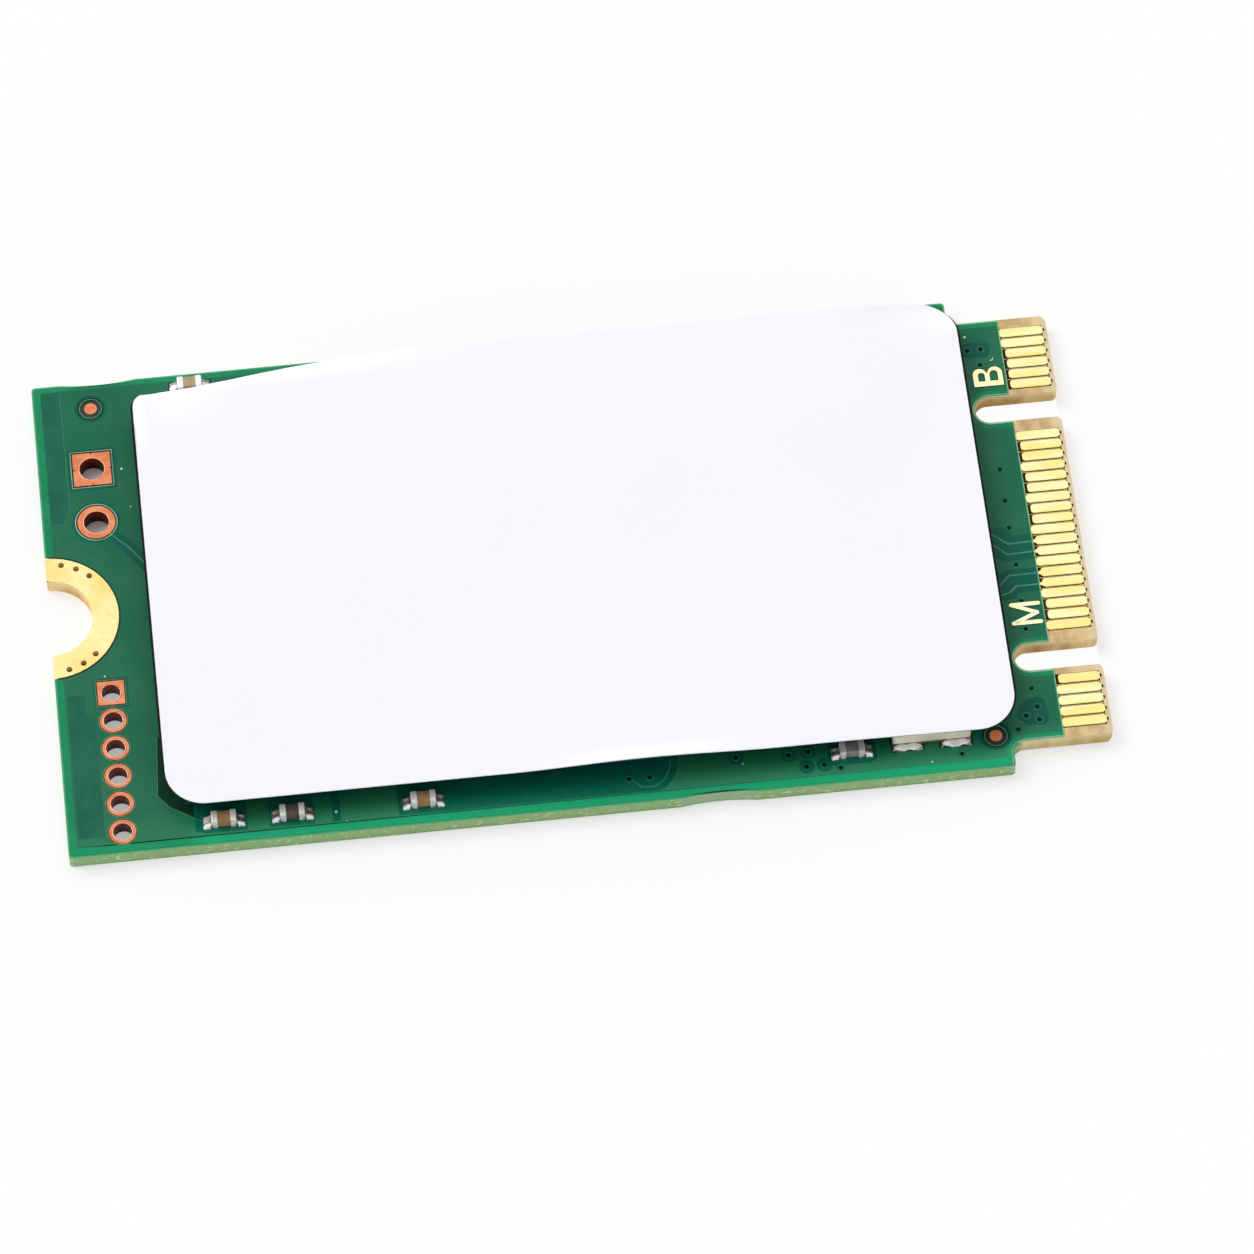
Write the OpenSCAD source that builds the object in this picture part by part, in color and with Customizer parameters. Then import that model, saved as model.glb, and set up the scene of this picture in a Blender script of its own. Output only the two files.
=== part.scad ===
// Gumstick solid state drive: a bare single-sided card, 22 by 42 mm, with a keyed edge connector.
// Millimetres. +X runs from the mounting end to the edge connector, +Y to the side of contact 1,
// +Z out of the component side. The origin is the middle of the card's plan, on the surface
// that it lies on.

/* [Card] */
// Length over all, from the mounting end to the tip of the edge connector
card_l = 42; // [42:0.5:110]
// Width of the card's body
card_w = 22; // [22:0.5:30]
// Finished thickness, over the copper of both faces
card_t = 0.8; // [0.6:0.05:1.6]
// Thickness of the copper on each face
copper_t = 0.045; // [0.02:0.005:0.07]
// Thickness of the solder mask on each face
mask_t = 0.03; // [0.01:0.005:0.04]
// Bare margin between the solder mask and the card's outline
mask_pullback = 0.08; // [0.02:0.01:0.3]
// Bare ring between a copper land and the solder mask round it
mask_gap = 0.08; // [0.03:0.01:0.15]
// Radius of the corners of the card's body
corner_r = 0.15; // [0.05:0.05:0.5]
// Length of the scar where a panel tab was snapped off the edge
tab_l = 3.1; // [1:0.1:4]
// Depth of that scar
tab_d = 0.12; // [0.05:0.01:0.3]
// Distance from the mounting end to the tab scar in the near edge
near_tab_x = 26; // [8:0.5:30]
// Distance from the mounting end to the tab scar in the far edge
far_tab_x = 2.7; // [2:0.1:30]

/* [Edge connector] */
// Length of the narrower tongue that enters the socket
tongue_l = 4.1; // [4:0.1:6]
// Width of the tongue
tongue_w = 19.85; // [19.7:0.05:20]
// Radius of the inner corner where the tongue leaves the body
shoulder_r = 0.5; // [0.2:0.05:0.8]
// Radius of the tongue's outer corners in plan
tip_r = 0.3; // [0.1:0.05:0.5]
// Depth of the bevel on each face of the tip
bevel_h = 0.12; // [0.05:0.01:0.2]
// Pitch of the contacts on one face; the other face is staggered by half of it
contact_pitch = 0.5; // [0.48:0.005:0.5]
// Width of a contact
contact_w = 0.36; // [0.25:0.01:0.4]
// Length of a contact that runs to the solder mask
contact_l = 1.8; // [1.5:0.05:2.2]
// Bare laminate between the tip and the contacts, bevelled over its whole length
contact_inset = 0.2; // [0.15:0.05:0.4]
// Gap that sets a signal contact back from the solder mask
contact_setback = 0.12; // [0.05:0.01:0.3]
// Radius of the contacts' corners
contact_r = 0.11; // [0.05:0.01:0.12]
// Width of a key notch
key_w = 1.2; // [1:0.05:1.3]
// Depth of a key notch from the tip
key_l = 3.5; // [3:0.1:3.8]
// Radius of the outer corners at a key notch's mouth
key_mouth_r = 0.2; // [0.05:0.05:0.25]
// Offset of the first key notch from the card's middle line
key_1_y = 5.625; // [5.5:0.005:5.75]
// Offset of the second key notch from the card's middle line
key_2_y = -6.125; // [-6.25:0.005:-6]
// Half of the width that each key notch keeps free of contacts
key_clear = 0.9; // [0.88:0.01:1.1]

/* [Mounting end] */
// Diameter of the half-round mounting notch
mount_d = 3.5; // [3:0.1:4]
// Outer diameter of the half-ring pad round the notch
mount_pad_d = 5.6; // [5.2:0.1:6]
// Diameter of the small plated holes in the half-ring pad
ring_via_d = 0.25; // [0.15:0.05:0.4]
// Number of small plated holes in each quarter of the half-ring pad
ring_vias = 3; // [1:1:4]

/* [Plated holes] */
// Thickness of the plating in the holes
plating_t = 0.03; // [0.02:0.005:0.06]
// Drill of the two large holes
large_hole_d = 1.04; // [0.8:0.02:1.2]
// Land of the two large holes, across the round or the square
large_land_d = 1.54; // [1.4:0.02:1.8]
// Pitch of the two large holes
large_pitch = 2.54; // [2:0.01:3]
// Distance from the far edge to the outer large hole
large_hole_y = 4.15; // [3.8:0.05:4.5]
// Drill of the six header holes
header_hole_d = 0.86; // [0.6:0.02:0.9]
// Land of the six header holes
header_land_d = 1.08; // [1:0.02:1.1]
// Pitch of the six header holes
header_pitch = 1.27; // [1.26:0.01:1.3]
// Distance from the near edge to the last header hole
header_hole_y = 0.95; // [0.8:0.05:1.1]
// Distance from the mounting end to the column of plated holes
hole_column_x = 2.21; // [2:0.05:2.6]

/* [Fiducials] */
// Diameter of a fiducial's copper dot
fiducial_d = 0.52; // [0.4:0.02:1]
// Diameter of the mask opening round a fiducial
fiducial_open_d = 1.05; // [0.95:0.05:2]
// Distance from the mounting end to the first fiducial
fiducial_1_x = 2.36; // [2:0.02:2.8]
// Distance from the far edge to the first fiducial
fiducial_1_y = 1.26; // [1.1:0.02:1.8]
// Distance from the tip to the second fiducial
fiducial_2_x = 4.73; // [4.7:0.02:4.9]
// Distance from the near edge to the second fiducial
fiducial_2_y = 1.45; // [1.1:0.02:2]

/* [Small chips] */
// Length of a small ceramic chip
chip_l = 1; // [0.8:0.05:1.2]
// Width of a small ceramic chip
chip_w = 0.5; // [0.4:0.05:0.6]
// Height of a small ceramic chip
chip_h = 0.5; // [0.3:0.05:0.6]
// Length of a larger supply capacitor
bulk_l = 1.6; // [1.4:0.05:1.7]
// Width of a larger supply capacitor
bulk_w = 0.8; // [0.6:0.05:0.9]
// Height of a larger supply capacitor
bulk_h = 0.8; // [0.5:0.05:0.9]
// Length of the power inductor
choke_l = 2.5; // [2:0.1:2.6]
// Width of the power inductor
choke_w = 2; // [1.6:0.1:2.2]
// Height of the power inductor
choke_h = 1; // [0.8:0.05:1.1]
// Share of a chip's length that each end cap covers
cap_share = 0.24; // [0.15:0.01:0.35]
// Thickness of the metal that wraps a chip's ends
cap_t = 0.02; // [0.01:0.005:0.04]
// Length of solder land beyond each end of a chip
land_out = 0.3; // [0.2:0.02:0.35]
// Solder between a part and its land
joint_t = 0.02; // [0.01:0.005:0.05]
// Distance from the near edge to the front row of chips
front_row = 0.96; // [0.9:0.02:1.1]
// Distance from the mounting end to the first chip of the front row
cap_1_x = 6.25; // [5:0.05:7]
// Distance from the mounting end to the second chip of the front row
cap_2_x = 8.98; // [8.5:0.05:10]
// Distance from the mounting end to the third chip of the front row
cap_3_x = 14.21; // [12:0.05:20]
// Distance from the tip to the fourth chip of the front row
cap_4_x = 10.56; // [10.5:0.05:14]
// Distance by which the fourth chip stands back from the front row
cap_4_back = 0.36; // [0:0.02:0.4]
// Distance from the mounting end to the chip at the far side
cap_5_x = 6.5; // [5:0.05:8]
// Distance from the memory packages to the chip at the far side
far_row = 1.25; // [1.24:0.01:1.4]
// Gap between neighbouring chips' solder
row_gap = 0.35; // [0.25:0.01:0.4]

/* [Crystal] */
// Length of the crystal's can
crystal_l = 3.15; // [3:0.05:3.3]
// Width of the crystal's can
crystal_w = 2.5; // [2.2:0.05:2.6]
// Height of the crystal, can and base
crystal_h = 0.8; // [0.6:0.05:1]
// Thickness of the crystal's ceramic base
crystal_base_t = 0.14; // [0.08:0.02:0.3]
// Radius of the can's edges
crystal_r = 0.08; // [0.04:0.01:0.2]
// Length of a crystal solder land
crystal_land_l = 1.2; // [0.9:0.05:1.3]
// Length of crystal solder land beyond the can
crystal_land_out = 0.22; // [0.1:0.02:0.3]
// Width of a crystal solder land, from under the base to its outer end
crystal_pad_w = 0.7; // [0.5:0.05:0.9]
// Distance from the tip to the middle of the crystal
crystal_tip = 7.33; // [7:0.05:7.8]
// Distance from the near edge to the crystal's can
crystal_near = 1.42; // [1.4:0.02:1.6]

/* [Memory packages] */
// Length of a memory package along the card
flash_l = 12; // [11:0.1:12.2]
// Width of a memory package across the card
flash_w = 18; // [16:0.1:18.3]
// Height of a memory package over the card's face, solder balls included
flash_h = 1.2; // [1.15:0.05:1.4]
// Thickness of a memory package's substrate
substrate_t = 0.22; // [0.15:0.01:0.3]
// Height of the solder balls over the card's face
ball_h = 0.22; // [0.15:0.01:0.3]
// Diameter of a solder ball
ball_d = 0.45; // [0.3:0.01:0.5]
// Pitch of the solder balls
ball_pitch = 1; // [0.8:0.05:1]
// Columns of solder balls along the card
ball_columns = 11; // [9:1:11]
// Rows of solder balls across the card
ball_rows = 12; // [10:1:16]
// Distance from the mounting end to the first memory package
flash_start = 4.8; // [4.6:0.1:6]
// Gap between neighbouring packages
package_gap = 0.6; // [0.4:0.05:0.8]

/* [Controller and regulator] */
// Side of the square controller package
controller_w = 7; // [6:0.1:7.4]
// Height of the controller package
controller_h = 1; // [0.8:0.05:1.1]
// Contacts on each side of the controller
controller_leads_n = 14; // [8:1:15]
// Pitch of the controller's contacts
controller_pitch = 0.4; // [0.35:0.05:0.4]
// Side of the square regulator package
regulator_w = 3; // [2.5:0.1:3.2]
// Height of the regulator package
regulator_h = 0.8; // [0.7:0.05:1]
// Contacts on each side of the regulator
regulator_leads_n = 4; // [2:1:4]
// Pitch of the regulator's contacts
regulator_pitch = 0.5; // [0.4:0.05:0.5]
// Width of a package contact
lead_w = 0.2; // [0.15:0.01:0.22]
// Length of a package contact under the package
lead_l = 0.4; // [0.3:0.05:0.5]
// Height of a package contact on the package's side
lead_h = 0.2; // [0.1:0.02:0.3]
// Length of a package contact's land beyond the package
lead_out = 0.2; // [0.1:0.02:0.22]

/* [Label] */
// Thickness of the label
label_t = 0.1; // [0.05:0.01:0.15]
// Radius of the label's corners
label_r = 1.58; // [1:0.02:3]
// Distance from the mounting end to the label
label_start = 4.1; // [4:0.01:4.4]
// Distance from the label to the tip of the edge connector
label_stop = 3.87; // [3.5:0.01:4]
// Distance from the near edge of the card to the label
label_near = 1.2; // [1:0.05:1.5]
// Width of the label beyond the line where its far edge folds down
label_flap = 1.16; // [0.9:0.01:1.25]
// Distance from the memory packages to the line where the label's far edge folds down
fold_margin = 0.5; // [0.4:0.01:0.6]
// Steepest angle of the fold, at the label's far corner by the mounting end
fold_angle = 75; // [0:1:78]
// Length of label that is curved by the fold
fold_l = 0.75; // [0.5:0.05:1]
// Distance from the mounting end up to which the fold keeps its full angle
fold_full = 6.6; // [6.4:0.1:8]
// Distance from the mounting end at which the fold has faded out
fold_none = 20; // [16:0.1:24]
// Height by which the label's near edge gapes
gape_h = 0.22; // [0:0.01:0.4]
// Distance from the mounting end to the middle of that gape
gape_x = 23.2; // [15:0.1:28]
// Reach of the gape to each side
gape_l = 5.5; // [3:0.1:7]

/* [Hidden] */
$fn = 48;
// Overshoot that lets a cut break through a face
over = 0.5;

end_x = -card_l / 2;
tip_x = card_l / 2;
near_y = -card_w / 2;
far_y = card_w / 2;
shoulder_x = tip_x - tongue_l;
notch_x = tip_x - key_l + key_w / 2;
mask_edge_x = tip_x - contact_inset - contact_l;

// Heights: underside copper, laminate, upper copper
base_z = copper_t;
laminate_t = card_t - 2 * copper_t;
face_z = base_z + laminate_t;
copper_z = card_t;
seat_z = copper_z + joint_t;
seat_h = seat_z - face_z;

// Contact 1 is half a staggered step outside the last whole pitch at the far side
contact_count = 75;
contact_1_y = contact_pitch / 2 * (contact_count - 1) / 2;
GROUND = [1, 3, 27, 33, 39, 45, 51, 57, 71, 73];
KEYS = [key_1_y, key_2_y];

// Scars of the snapped-off panel tabs: place along the card, and side
tab_r = (tab_l * tab_l / 4 + tab_d * tab_d) / (2 * tab_d);
TAB_SCARS = [[end_x + near_tab_x, -1], [end_x + far_tab_x, 1]];

// Plated holes
hole_x = end_x + hole_column_x;
large_1 = [hole_x, far_y - large_hole_y];
large_2 = [hole_x, far_y - large_hole_y - large_pitch];
header_n = 6;
HEADER = [for (i = [header_n - 1:-1:0]) [hole_x, near_y + header_hole_y + i * header_pitch]];
FIDUCIALS = [
    [end_x + fiducial_1_x, far_y - fiducial_1_y],
    [tip_x - fiducial_2_x, near_y + fiducial_2_y]
];

// Radius of the end caps' edges, small enough to cover the ceramic's corners
cap_r = 2.5 * cap_t;

// Small plated holes of the half-ring pad, spread between the notch and the pad's rim
ring_via_r = mount_pad_d / 2 - ring_via_d - 0.03;
ring_via_start = 14.5;
ring_via_step = 14.5;
RING_VIAS = [for (side = [-1, 1], i = [0:ring_vias - 1])
    let (a = 90 - ring_via_start - i * ring_via_step)
    [end_x + ring_via_r * cos(a), side * ring_via_r * sin(a)]];

// Sizes of the chip families
small_chip = [chip_l, chip_w, chip_h];
bulk_chip = [bulk_l, bulk_w, bulk_h];
choke_chip = [choke_l, choke_w, choke_h];

// Places: [x, y, turn]
front_y = near_y + front_row;
cap_1 = [end_x + cap_1_x, front_y, 0];
cap_2 = [end_x + cap_2_x, front_y, 0];
cap_3 = [end_x + cap_3_x, front_y, 0];
cap_4 = [tip_x - cap_4_x, front_y + cap_4_back, 0];
crystal_x = tip_x - crystal_tip;
crystal_y = near_y + crystal_near + crystal_w / 2;

// Memory packages stand side by side, behind the front row of chips
flash_y = front_y + chip_w / 2 + package_gap + flash_w / 2;
flash_1_x = end_x + flash_start + flash_l / 2;
flash_2_x = flash_1_x + flash_l + package_gap;
flash_stop_x = flash_2_x + flash_l / 2;
flash_far_y = flash_y + flash_w / 2;
cap_5 = [end_x + cap_5_x, flash_far_y + far_row + chip_w / 2, 0];

// The controller follows the second memory package and the crystal's capacitors, clear of them
load_y = crystal_y + crystal_w / 2 + crystal_land_out + row_gap / 2 + chip_w / 2;
controller_x = flash_stop_x + package_gap + lead_out + controller_w / 2;
controller_y = load_y + chip_w / 2 + row_gap + lead_out + controller_w / 2;
controller_top_y = controller_y + controller_w / 2 + lead_out;
chip_row_y = controller_top_y + row_gap + chip_w / 2;
bulk_row_y = chip_row_y + chip_w / 2 + row_gap + bulk_w / 2;
regulator_x = flash_stop_x + package_gap + lead_out + regulator_w / 2;
regulator_y = bulk_row_y + bulk_w / 2 + row_gap + lead_out + regulator_w / 2;
choke_x = regulator_x + regulator_w / 2 + lead_out + row_gap + land_out + choke_l / 2;
row_x = flash_stop_x + package_gap;

small_step = chip_l + 2 * land_out + row_gap;
bulk_step = bulk_l + 2 * land_out + row_gap / 2;
HIDDEN_CHIPS = concat(
    [for (i = [0:2]) [row_x + land_out + chip_l / 2 + i * small_step, chip_row_y, 0]],
    [for (i = [-1, 1]) [crystal_x + i * small_step / 2, load_y, 0]]
);
BULK_CHIPS = [for (i = [0:2]) [row_x + land_out + bulk_l / 2 + i * bulk_step, bulk_row_y, 0]];

// Label, laid over the package tops
label_x0 = end_x + label_start;
label_x1 = tip_x - label_stop;
label_y0 = near_y + label_near;
label_top = copper_z + flash_h + label_t;
fold_y = flash_far_y + fold_margin;
label_y1 = fold_y + label_flap;
fade_x0 = flash_stop_x + package_gap;
label_sink = flash_h - controller_h - joint_t - 0.04;
arc_steps = 6;
span_steps = 18;
sink_steps = 6;
flat_rows = 12;
fold_rows = 6;
row_steps = flat_rows + fold_rows;

// Y of a contact by its number
function contact_y(n) = contact_1_y - contact_pitch / 2 * (n - 1);
function is_clear(n) = min([for (k = KEYS) abs(contact_y(n) - k)]) > key_clear;
function is_ground(n) = len(search(n, GROUND)) > 0;

// A rectangle with rounded corners, centred
module rounded(l, w, r) {
    square([l - 2 * r, w], center = true);
    square([l, w - 2 * r], center = true);
    for (x = [-1, 1], y = [-1, 1])
        translate([x * (l / 2 - r), y * (w / 2 - r)]) circle(r);
}

// A square corner's waste, outside a radius, with the corner at the origin and the part in -X -Y
module corner_waste(r) {
    difference() {
        translate([-r, -r]) square(r + over);
        translate([-r, -r]) circle(r);
    }
}

// Material that rounds an inner corner, with the corner at the origin and the card in -X and -Y
module corner_fill(r) {
    difference() {
        translate([-over, -over]) square(r + over);
        translate([r, r]) circle(r);
    }
}

// Plan of the card, drawn in by an inset on every side
module card_plan(inset) {
    body_x = shoulder_x - inset;
    tongue_y = tongue_w / 2 - inset;
    difference() {
        union() {
            translate([end_x + inset, near_y + inset])
                square([card_l - tongue_l - 2 * inset, card_w - 2 * inset]);
            translate([end_x + inset, -tongue_y]) square([card_l - 2 * inset, 2 * tongue_y]);
            for (side = [-1, 1])
                translate([body_x, side * tongue_y]) mirror([0, side < 0 ? 1 : 0])
                    corner_fill(shoulder_r + inset);
        }
        for (y = KEYS) translate([notch_x, y]) {
            circle(key_w / 2 + inset);
            translate([0, -key_w / 2 - inset]) square([key_l, key_w + 2 * inset]);
        }
        for (y = KEYS, side = [-1, 1])
            translate([tip_x - inset, y + side * (key_w / 2 + inset)])
                mirror([0, side > 0 ? 1 : 0]) corner_waste(key_mouth_r);
        translate([end_x, 0]) circle(mount_d / 2 + inset);
        for (side = [-1, 1]) mirror([0, side < 0 ? 1 : 0]) {
            translate([tip_x - inset, tongue_y]) corner_waste(tip_r);
            translate([body_x, far_y - inset]) corner_waste(corner_r);
            translate([end_x + inset, far_y - inset]) mirror([1, 0]) corner_waste(corner_r);
        }
        for (s = TAB_SCARS)
            translate([s[0], s[1] * (far_y - tab_d + tab_r)]) circle(tab_r + inset, $fn = 200);
    }
}

// Waste that bevels one face of the tip, for the face at height 0 with the card below it
module bevel_waste() {
    translate([tip_x, card_w / 2 + over, 0]) rotate([90, 0, 0]) linear_extrude(card_w + 2 * over)
        polygon([[-contact_inset, 0], [over, 0], [over, -bevel_h * (1 + over / contact_inset)]]);
}

// Puts a part on its solder joints
module place(spot) {
    translate([spot[0], spot[1], seat_z]) rotate(spot[2]) children();
}

// Ceramic of a chip, inside its end caps
module chip_body(size) {
    translate([-size[0] / 2 + cap_t, -size[1] / 2 + cap_t, cap_t])
        cube([size[0] - 2 * cap_t, size[1] - 2 * cap_t, size[2] - 2 * cap_t]);
}

// Two metal end caps, rounded over their outer edges, that wrap the ceramic
module chip_caps(size) {
    cap_l = size[0] * cap_share;
    for (side = [0, 1]) mirror([side, 0, 0]) difference() {
        intersection() {
            linear_extrude(size[2]) rounded(size[0], size[1], cap_r);
            translate([0, size[1] / 2, size[2] / 2]) rotate([90, 0, 0])
                linear_extrude(size[1]) rounded(size[0], size[2], cap_r);
            translate([size[0] / 2 - cap_l, -size[1] / 2, 0]) cube([cap_l, size[1], size[2]]);
        }
        chip_body(size);
    }
}

// Land under an end cap with the solder that climbs the cap's end
module chip_joints(size) {
    cap_l = size[0] * cap_share;
    climb = size[2] * 0.7;
    for (side = [0, 1]) mirror([side, 0, 0]) {
        translate([size[0] / 2 - cap_l, -size[1] / 2, -seat_h])
            cube([cap_l + land_out, size[1], seat_h]);
        translate([size[0] / 2, size[1] / 2, 0]) rotate([90, 0, 0]) linear_extrude(size[1])
            solder_section(land_out, climb);
    }
}

// Hollow slope of solder, from height h at its back to a thin toe at length l
module solder_section(l, h) {
    toe = 0.03;
    polygon(concat([[0, 0]], [for (i = [0:6])
        let (a = i * 15) [l * (1 - cos(a)), toe + (h - toe) * (1 - sin(a))]], [[l, 0]]));
}

// Mask openings of a chip's two lands
module chip_openings(spot, size) {
    cap_l = size[0] * cap_share;
    translate([spot[0], spot[1]]) rotate(spot[2]) for (side = [-1, 1])
        translate([side * (size[0] / 2 - cap_l / 2 + land_out / 2), 0])
            square([cap_l + land_out + 2 * mask_gap, size[1] + 2 * mask_gap], center = true);
}

// A hole's plating: lands on both faces joined by the barrel, as one piece of copper
module plated_hole(spot, drill, land, is_square) {
    translate([spot[0], spot[1], 0]) difference() {
        union() {
            for (z = [0, face_z]) translate([0, 0, z]) linear_extrude(copper_t)
                if (is_square) square(land, center = true);
                else circle(d = land);
            cylinder(d = drill + 2 * plating_t, h = card_t);
        }
        translate([0, 0, -over]) cylinder(d = drill, h = card_t + 2 * over);
    }
}

// Bore in the laminate for a hole's plating
module plated_bore(spot, drill) {
    translate([spot[0], spot[1], -over])
        cylinder(d = drill + 2 * plating_t, h = card_t + 2 * over);
}

// One face's half-ring pad, drawn from height 0 upwards
module mounting_pad() {
    linear_extrude(copper_t) difference() {
        intersection() {
            translate([end_x, 0]) circle(d = mount_pad_d, $fn = 96);
            translate([end_x + mask_pullback, -mount_pad_d / 2 - over])
                square([mount_pad_d, mount_pad_d + 2 * over]);
        }
        translate([end_x, 0]) circle(d = mount_d);
        for (v = RING_VIAS) translate(v) circle(d = ring_via_d, $fn = 24);
    }
}

// The contacts of one face, drawn from height 0 upwards
module contacts(first) {
    for (n = [first:2:contact_count]) if (is_clear(n)) {
        l = contact_l - (is_ground(n) ? 0 : contact_setback);
        translate([tip_x - contact_inset - l / 2, contact_y(n), 0])
            linear_extrude(copper_t) rounded(l, contact_w, contact_r);
    }
}

// Openings that both faces' solder masks share
module shared_openings() {
    translate([end_x, 0]) circle(d = mount_pad_d + 2 * mask_gap, $fn = 96);
    translate(large_1) square(large_land_d + 2 * mask_gap, center = true);
    translate(large_2) circle(d = large_land_d + 2 * mask_gap);
    translate(HEADER[0]) square(header_land_d + 2 * mask_gap, center = true);
    for (i = [1:header_n - 1])
        translate(HEADER[i]) circle(d = header_land_d + 2 * mask_gap);
}

// The mask's plan on either face, up to the contacts
module mask_plan() {
    difference() {
        intersection() {
            card_plan(mask_pullback);
            translate([end_x, near_y]) square([mask_edge_x - end_x, card_w]);
        }
        shared_openings();
    }
}

// Black epoxy of a package with its contacts let into the edge of its underside
module leadless_mould(w, h, n, pitch) {
    difference() {
        translate([-w / 2, -w / 2, 0]) cube([w, w, h]);
        leadless_leads(w, n, pitch, 0);
    }
}

// Contacts round a leadless package, the pad under its middle, and their lands on the card
module leadless_leads(w, n, pitch, sole) {
    pad_w = w - 4 * lead_l;
    for (turn = [0:90:270]) rotate(turn) for (i = [0:n - 1])
        translate([w / 2 - lead_l, (i - (n - 1) / 2) * pitch - lead_w / 2, 0]) {
            cube([lead_l, lead_w, lead_h]);
            if (sole > 0) translate([0, 0, -sole]) cube([lead_l + lead_out, lead_w, sole]);
        }
    translate([-pad_w / 2, -pad_w / 2, -sole]) cube([pad_w, pad_w, lead_h + sole]);
}

// Mask window under a leadless package
module leadless_opening(x, y, w) {
    translate([x, y]) square(w + 2 * lead_out + 2 * mask_gap, center = true);
}

// Solder balls under a memory package, from the laminate to the substrate
module ball_grid(x) {
    for (i = [0:ball_columns - 1], j = [0:ball_rows - 1])
        translate([
            x + (i - (ball_columns - 1) / 2) * ball_pitch,
            flash_y + (j - (ball_rows - 1) / 2) * ball_pitch,
            face_z
        ]) cylinder(d = ball_d, h = copper_t + ball_h, $fn = 16);
}

// Mask window under a memory package's solder balls
module ball_opening(x) {
    translate([x, flash_y]) square([
        (ball_columns - 1) * ball_pitch + ball_d + 2 * mask_gap,
        (ball_rows - 1) * ball_pitch + ball_d + 2 * mask_gap
    ], center = true);
}

// Package body slab over the solder balls
module flash_slab(x, z, t) {
    translate([x - flash_l / 2, flash_y - flash_w / 2, copper_z + z]) cube([flash_l, flash_w, t]);
}

// Smooth step from 0 to 1
function ease(t) = let (u = max(0, min(1, t))) u * u * (3 - 2 * u);

// Label: stations along the card, close together in the round corners, as [x, corner inset]
function label_stations() = concat(
    [for (i = [0:arc_steps - 1]) let (a = i * 90 / arc_steps)
        [label_x0 + label_r * (1 - cos(a)), label_r * (1 - sin(a))]],
    [for (i = [0:span_steps])
        [label_x0 + label_r + (fade_x0 - label_x0 - label_r) * i / span_steps, 0]],
    [for (i = [1:sink_steps])
        [fade_x0 + (label_x1 - label_r - fade_x0) * i / sink_steps, 0]],
    [for (i = [arc_steps - 1:-1:0]) let (a = i * 90 / arc_steps)
        [label_x1 - label_r * (1 - cos(a)), label_r * (1 - sin(a))]]
);
// Angle of the fold at a station
function fold_at(x) =
    let (u = (end_x + fold_none - x) / (fold_none - fold_full))
    fold_angle * pow(max(0, min(1, u)), 1.9);
// Height of the label's top at a station, before the fold: it sinks from the memory packages
// to the lower controller, and its near edge gapes
function label_z(x, y) =
    let (sink = label_sink * ease((x - fade_x0) / (label_x1 - fade_x0)))
    let (swell = pow(cos(90 * max(-1, min(1, (x - end_x - gape_x) / gape_l))), 2))
    let (rim = 1 - ease((y - label_y0) / (flash_y - flash_w / 2 - label_y0)))
    label_top - sink + gape_h * swell * rim;
// A point of the label at a station, at distance y across the flat label and depth d into it
function label_point(x, y, d) =
    let (s = y - fold_y, full = fold_at(x))
    s <= 0 || full < 0.5
        ? [x, y, label_z(x, y) - d]
        : let (
            bent = min(s, fold_l),
            a = full * bent / fold_l,
            r = fold_l / (full * PI / 180),
            run = s - bent
        ) [
            x,
            fold_y + r * sin(a) + run * cos(a) - d * sin(a),
            label_z(x, y) - r * (1 - cos(a)) - run * sin(a) - d * cos(a)
        ];
// Place of a row between the label's two edges at a station: rows crowd towards the near edge,
// and one row lies on the fold line
function row_y(j, low, high) =
    let (mid = min(fold_y, low + 0.94 * (high - low)))
    j <= flat_rows
        ? low + (mid - low) * pow(j / flat_rows, 2)
        : mid + (high - mid) * (j - flat_rows) / fold_rows;

module circuit_board() {
    color("DarkOliveGreen") difference() {
        translate([0, 0, base_z]) linear_extrude(laminate_t) card_plan(0);
        translate([0, 0, face_z]) bevel_waste();
        translate([0, 0, base_z]) mirror([0, 0, 1]) bevel_waste();
        plated_bore(large_1, large_hole_d);
        plated_bore(large_2, large_hole_d);
        for (h = HEADER) plated_bore(h, header_hole_d);
        for (v = RING_VIAS)
            translate([v[0], v[1], -over]) cylinder(d = ring_via_d, h = card_t + 2 * over, $fn = 24);
    }
}

module solder_mask_top() {
    color("SeaGreen") translate([0, 0, face_z]) linear_extrude(mask_t) difference() {
        mask_plan();
        for (f = FIDUCIALS) translate(f) circle(d = fiducial_open_d);
        for (c = [cap_1, cap_2, cap_3, cap_4, cap_5]) chip_openings(c, small_chip);
        for (c = HIDDEN_CHIPS) chip_openings(c, small_chip);
        for (c = BULK_CHIPS) chip_openings(c, bulk_chip);
        chip_openings([choke_x, regulator_y, 0], choke_chip);
        for (x = [flash_1_x, flash_2_x]) ball_opening(x);
        leadless_opening(controller_x, controller_y, controller_w);
        leadless_opening(regulator_x, regulator_y, regulator_w);
        for (x = [-1, 1], y = [-1, 1])
            translate([
                crystal_x + x * (crystal_l - crystal_land_l) / 2,
                crystal_y + y * (crystal_w / 2 + crystal_land_out - crystal_pad_w / 2)
            ]) square([crystal_land_l + 2 * mask_gap, crystal_pad_w + 2 * mask_gap], center = true);
    }
}

module solder_mask_bottom() {
    color("SeaGreen") translate([0, 0, base_z - mask_t]) linear_extrude(mask_t) mask_plan();
}

module edge_contacts_top() {
    color("Gold") translate([0, 0, face_z]) contacts(1);
}

module edge_contacts_bottom() {
    color("Gold") contacts(2);
}

module mounting_pad_top() {
    color("Gold") translate([0, 0, face_z]) mounting_pad();
}

module mounting_pad_bottom() {
    color("Gold") mounting_pad();
}

module large_hole_square() {
    color("Coral") plated_hole(large_1, large_hole_d, large_land_d, true);
}

module large_hole_round() {
    color("Coral") plated_hole(large_2, large_hole_d, large_land_d, false);
}

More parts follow.
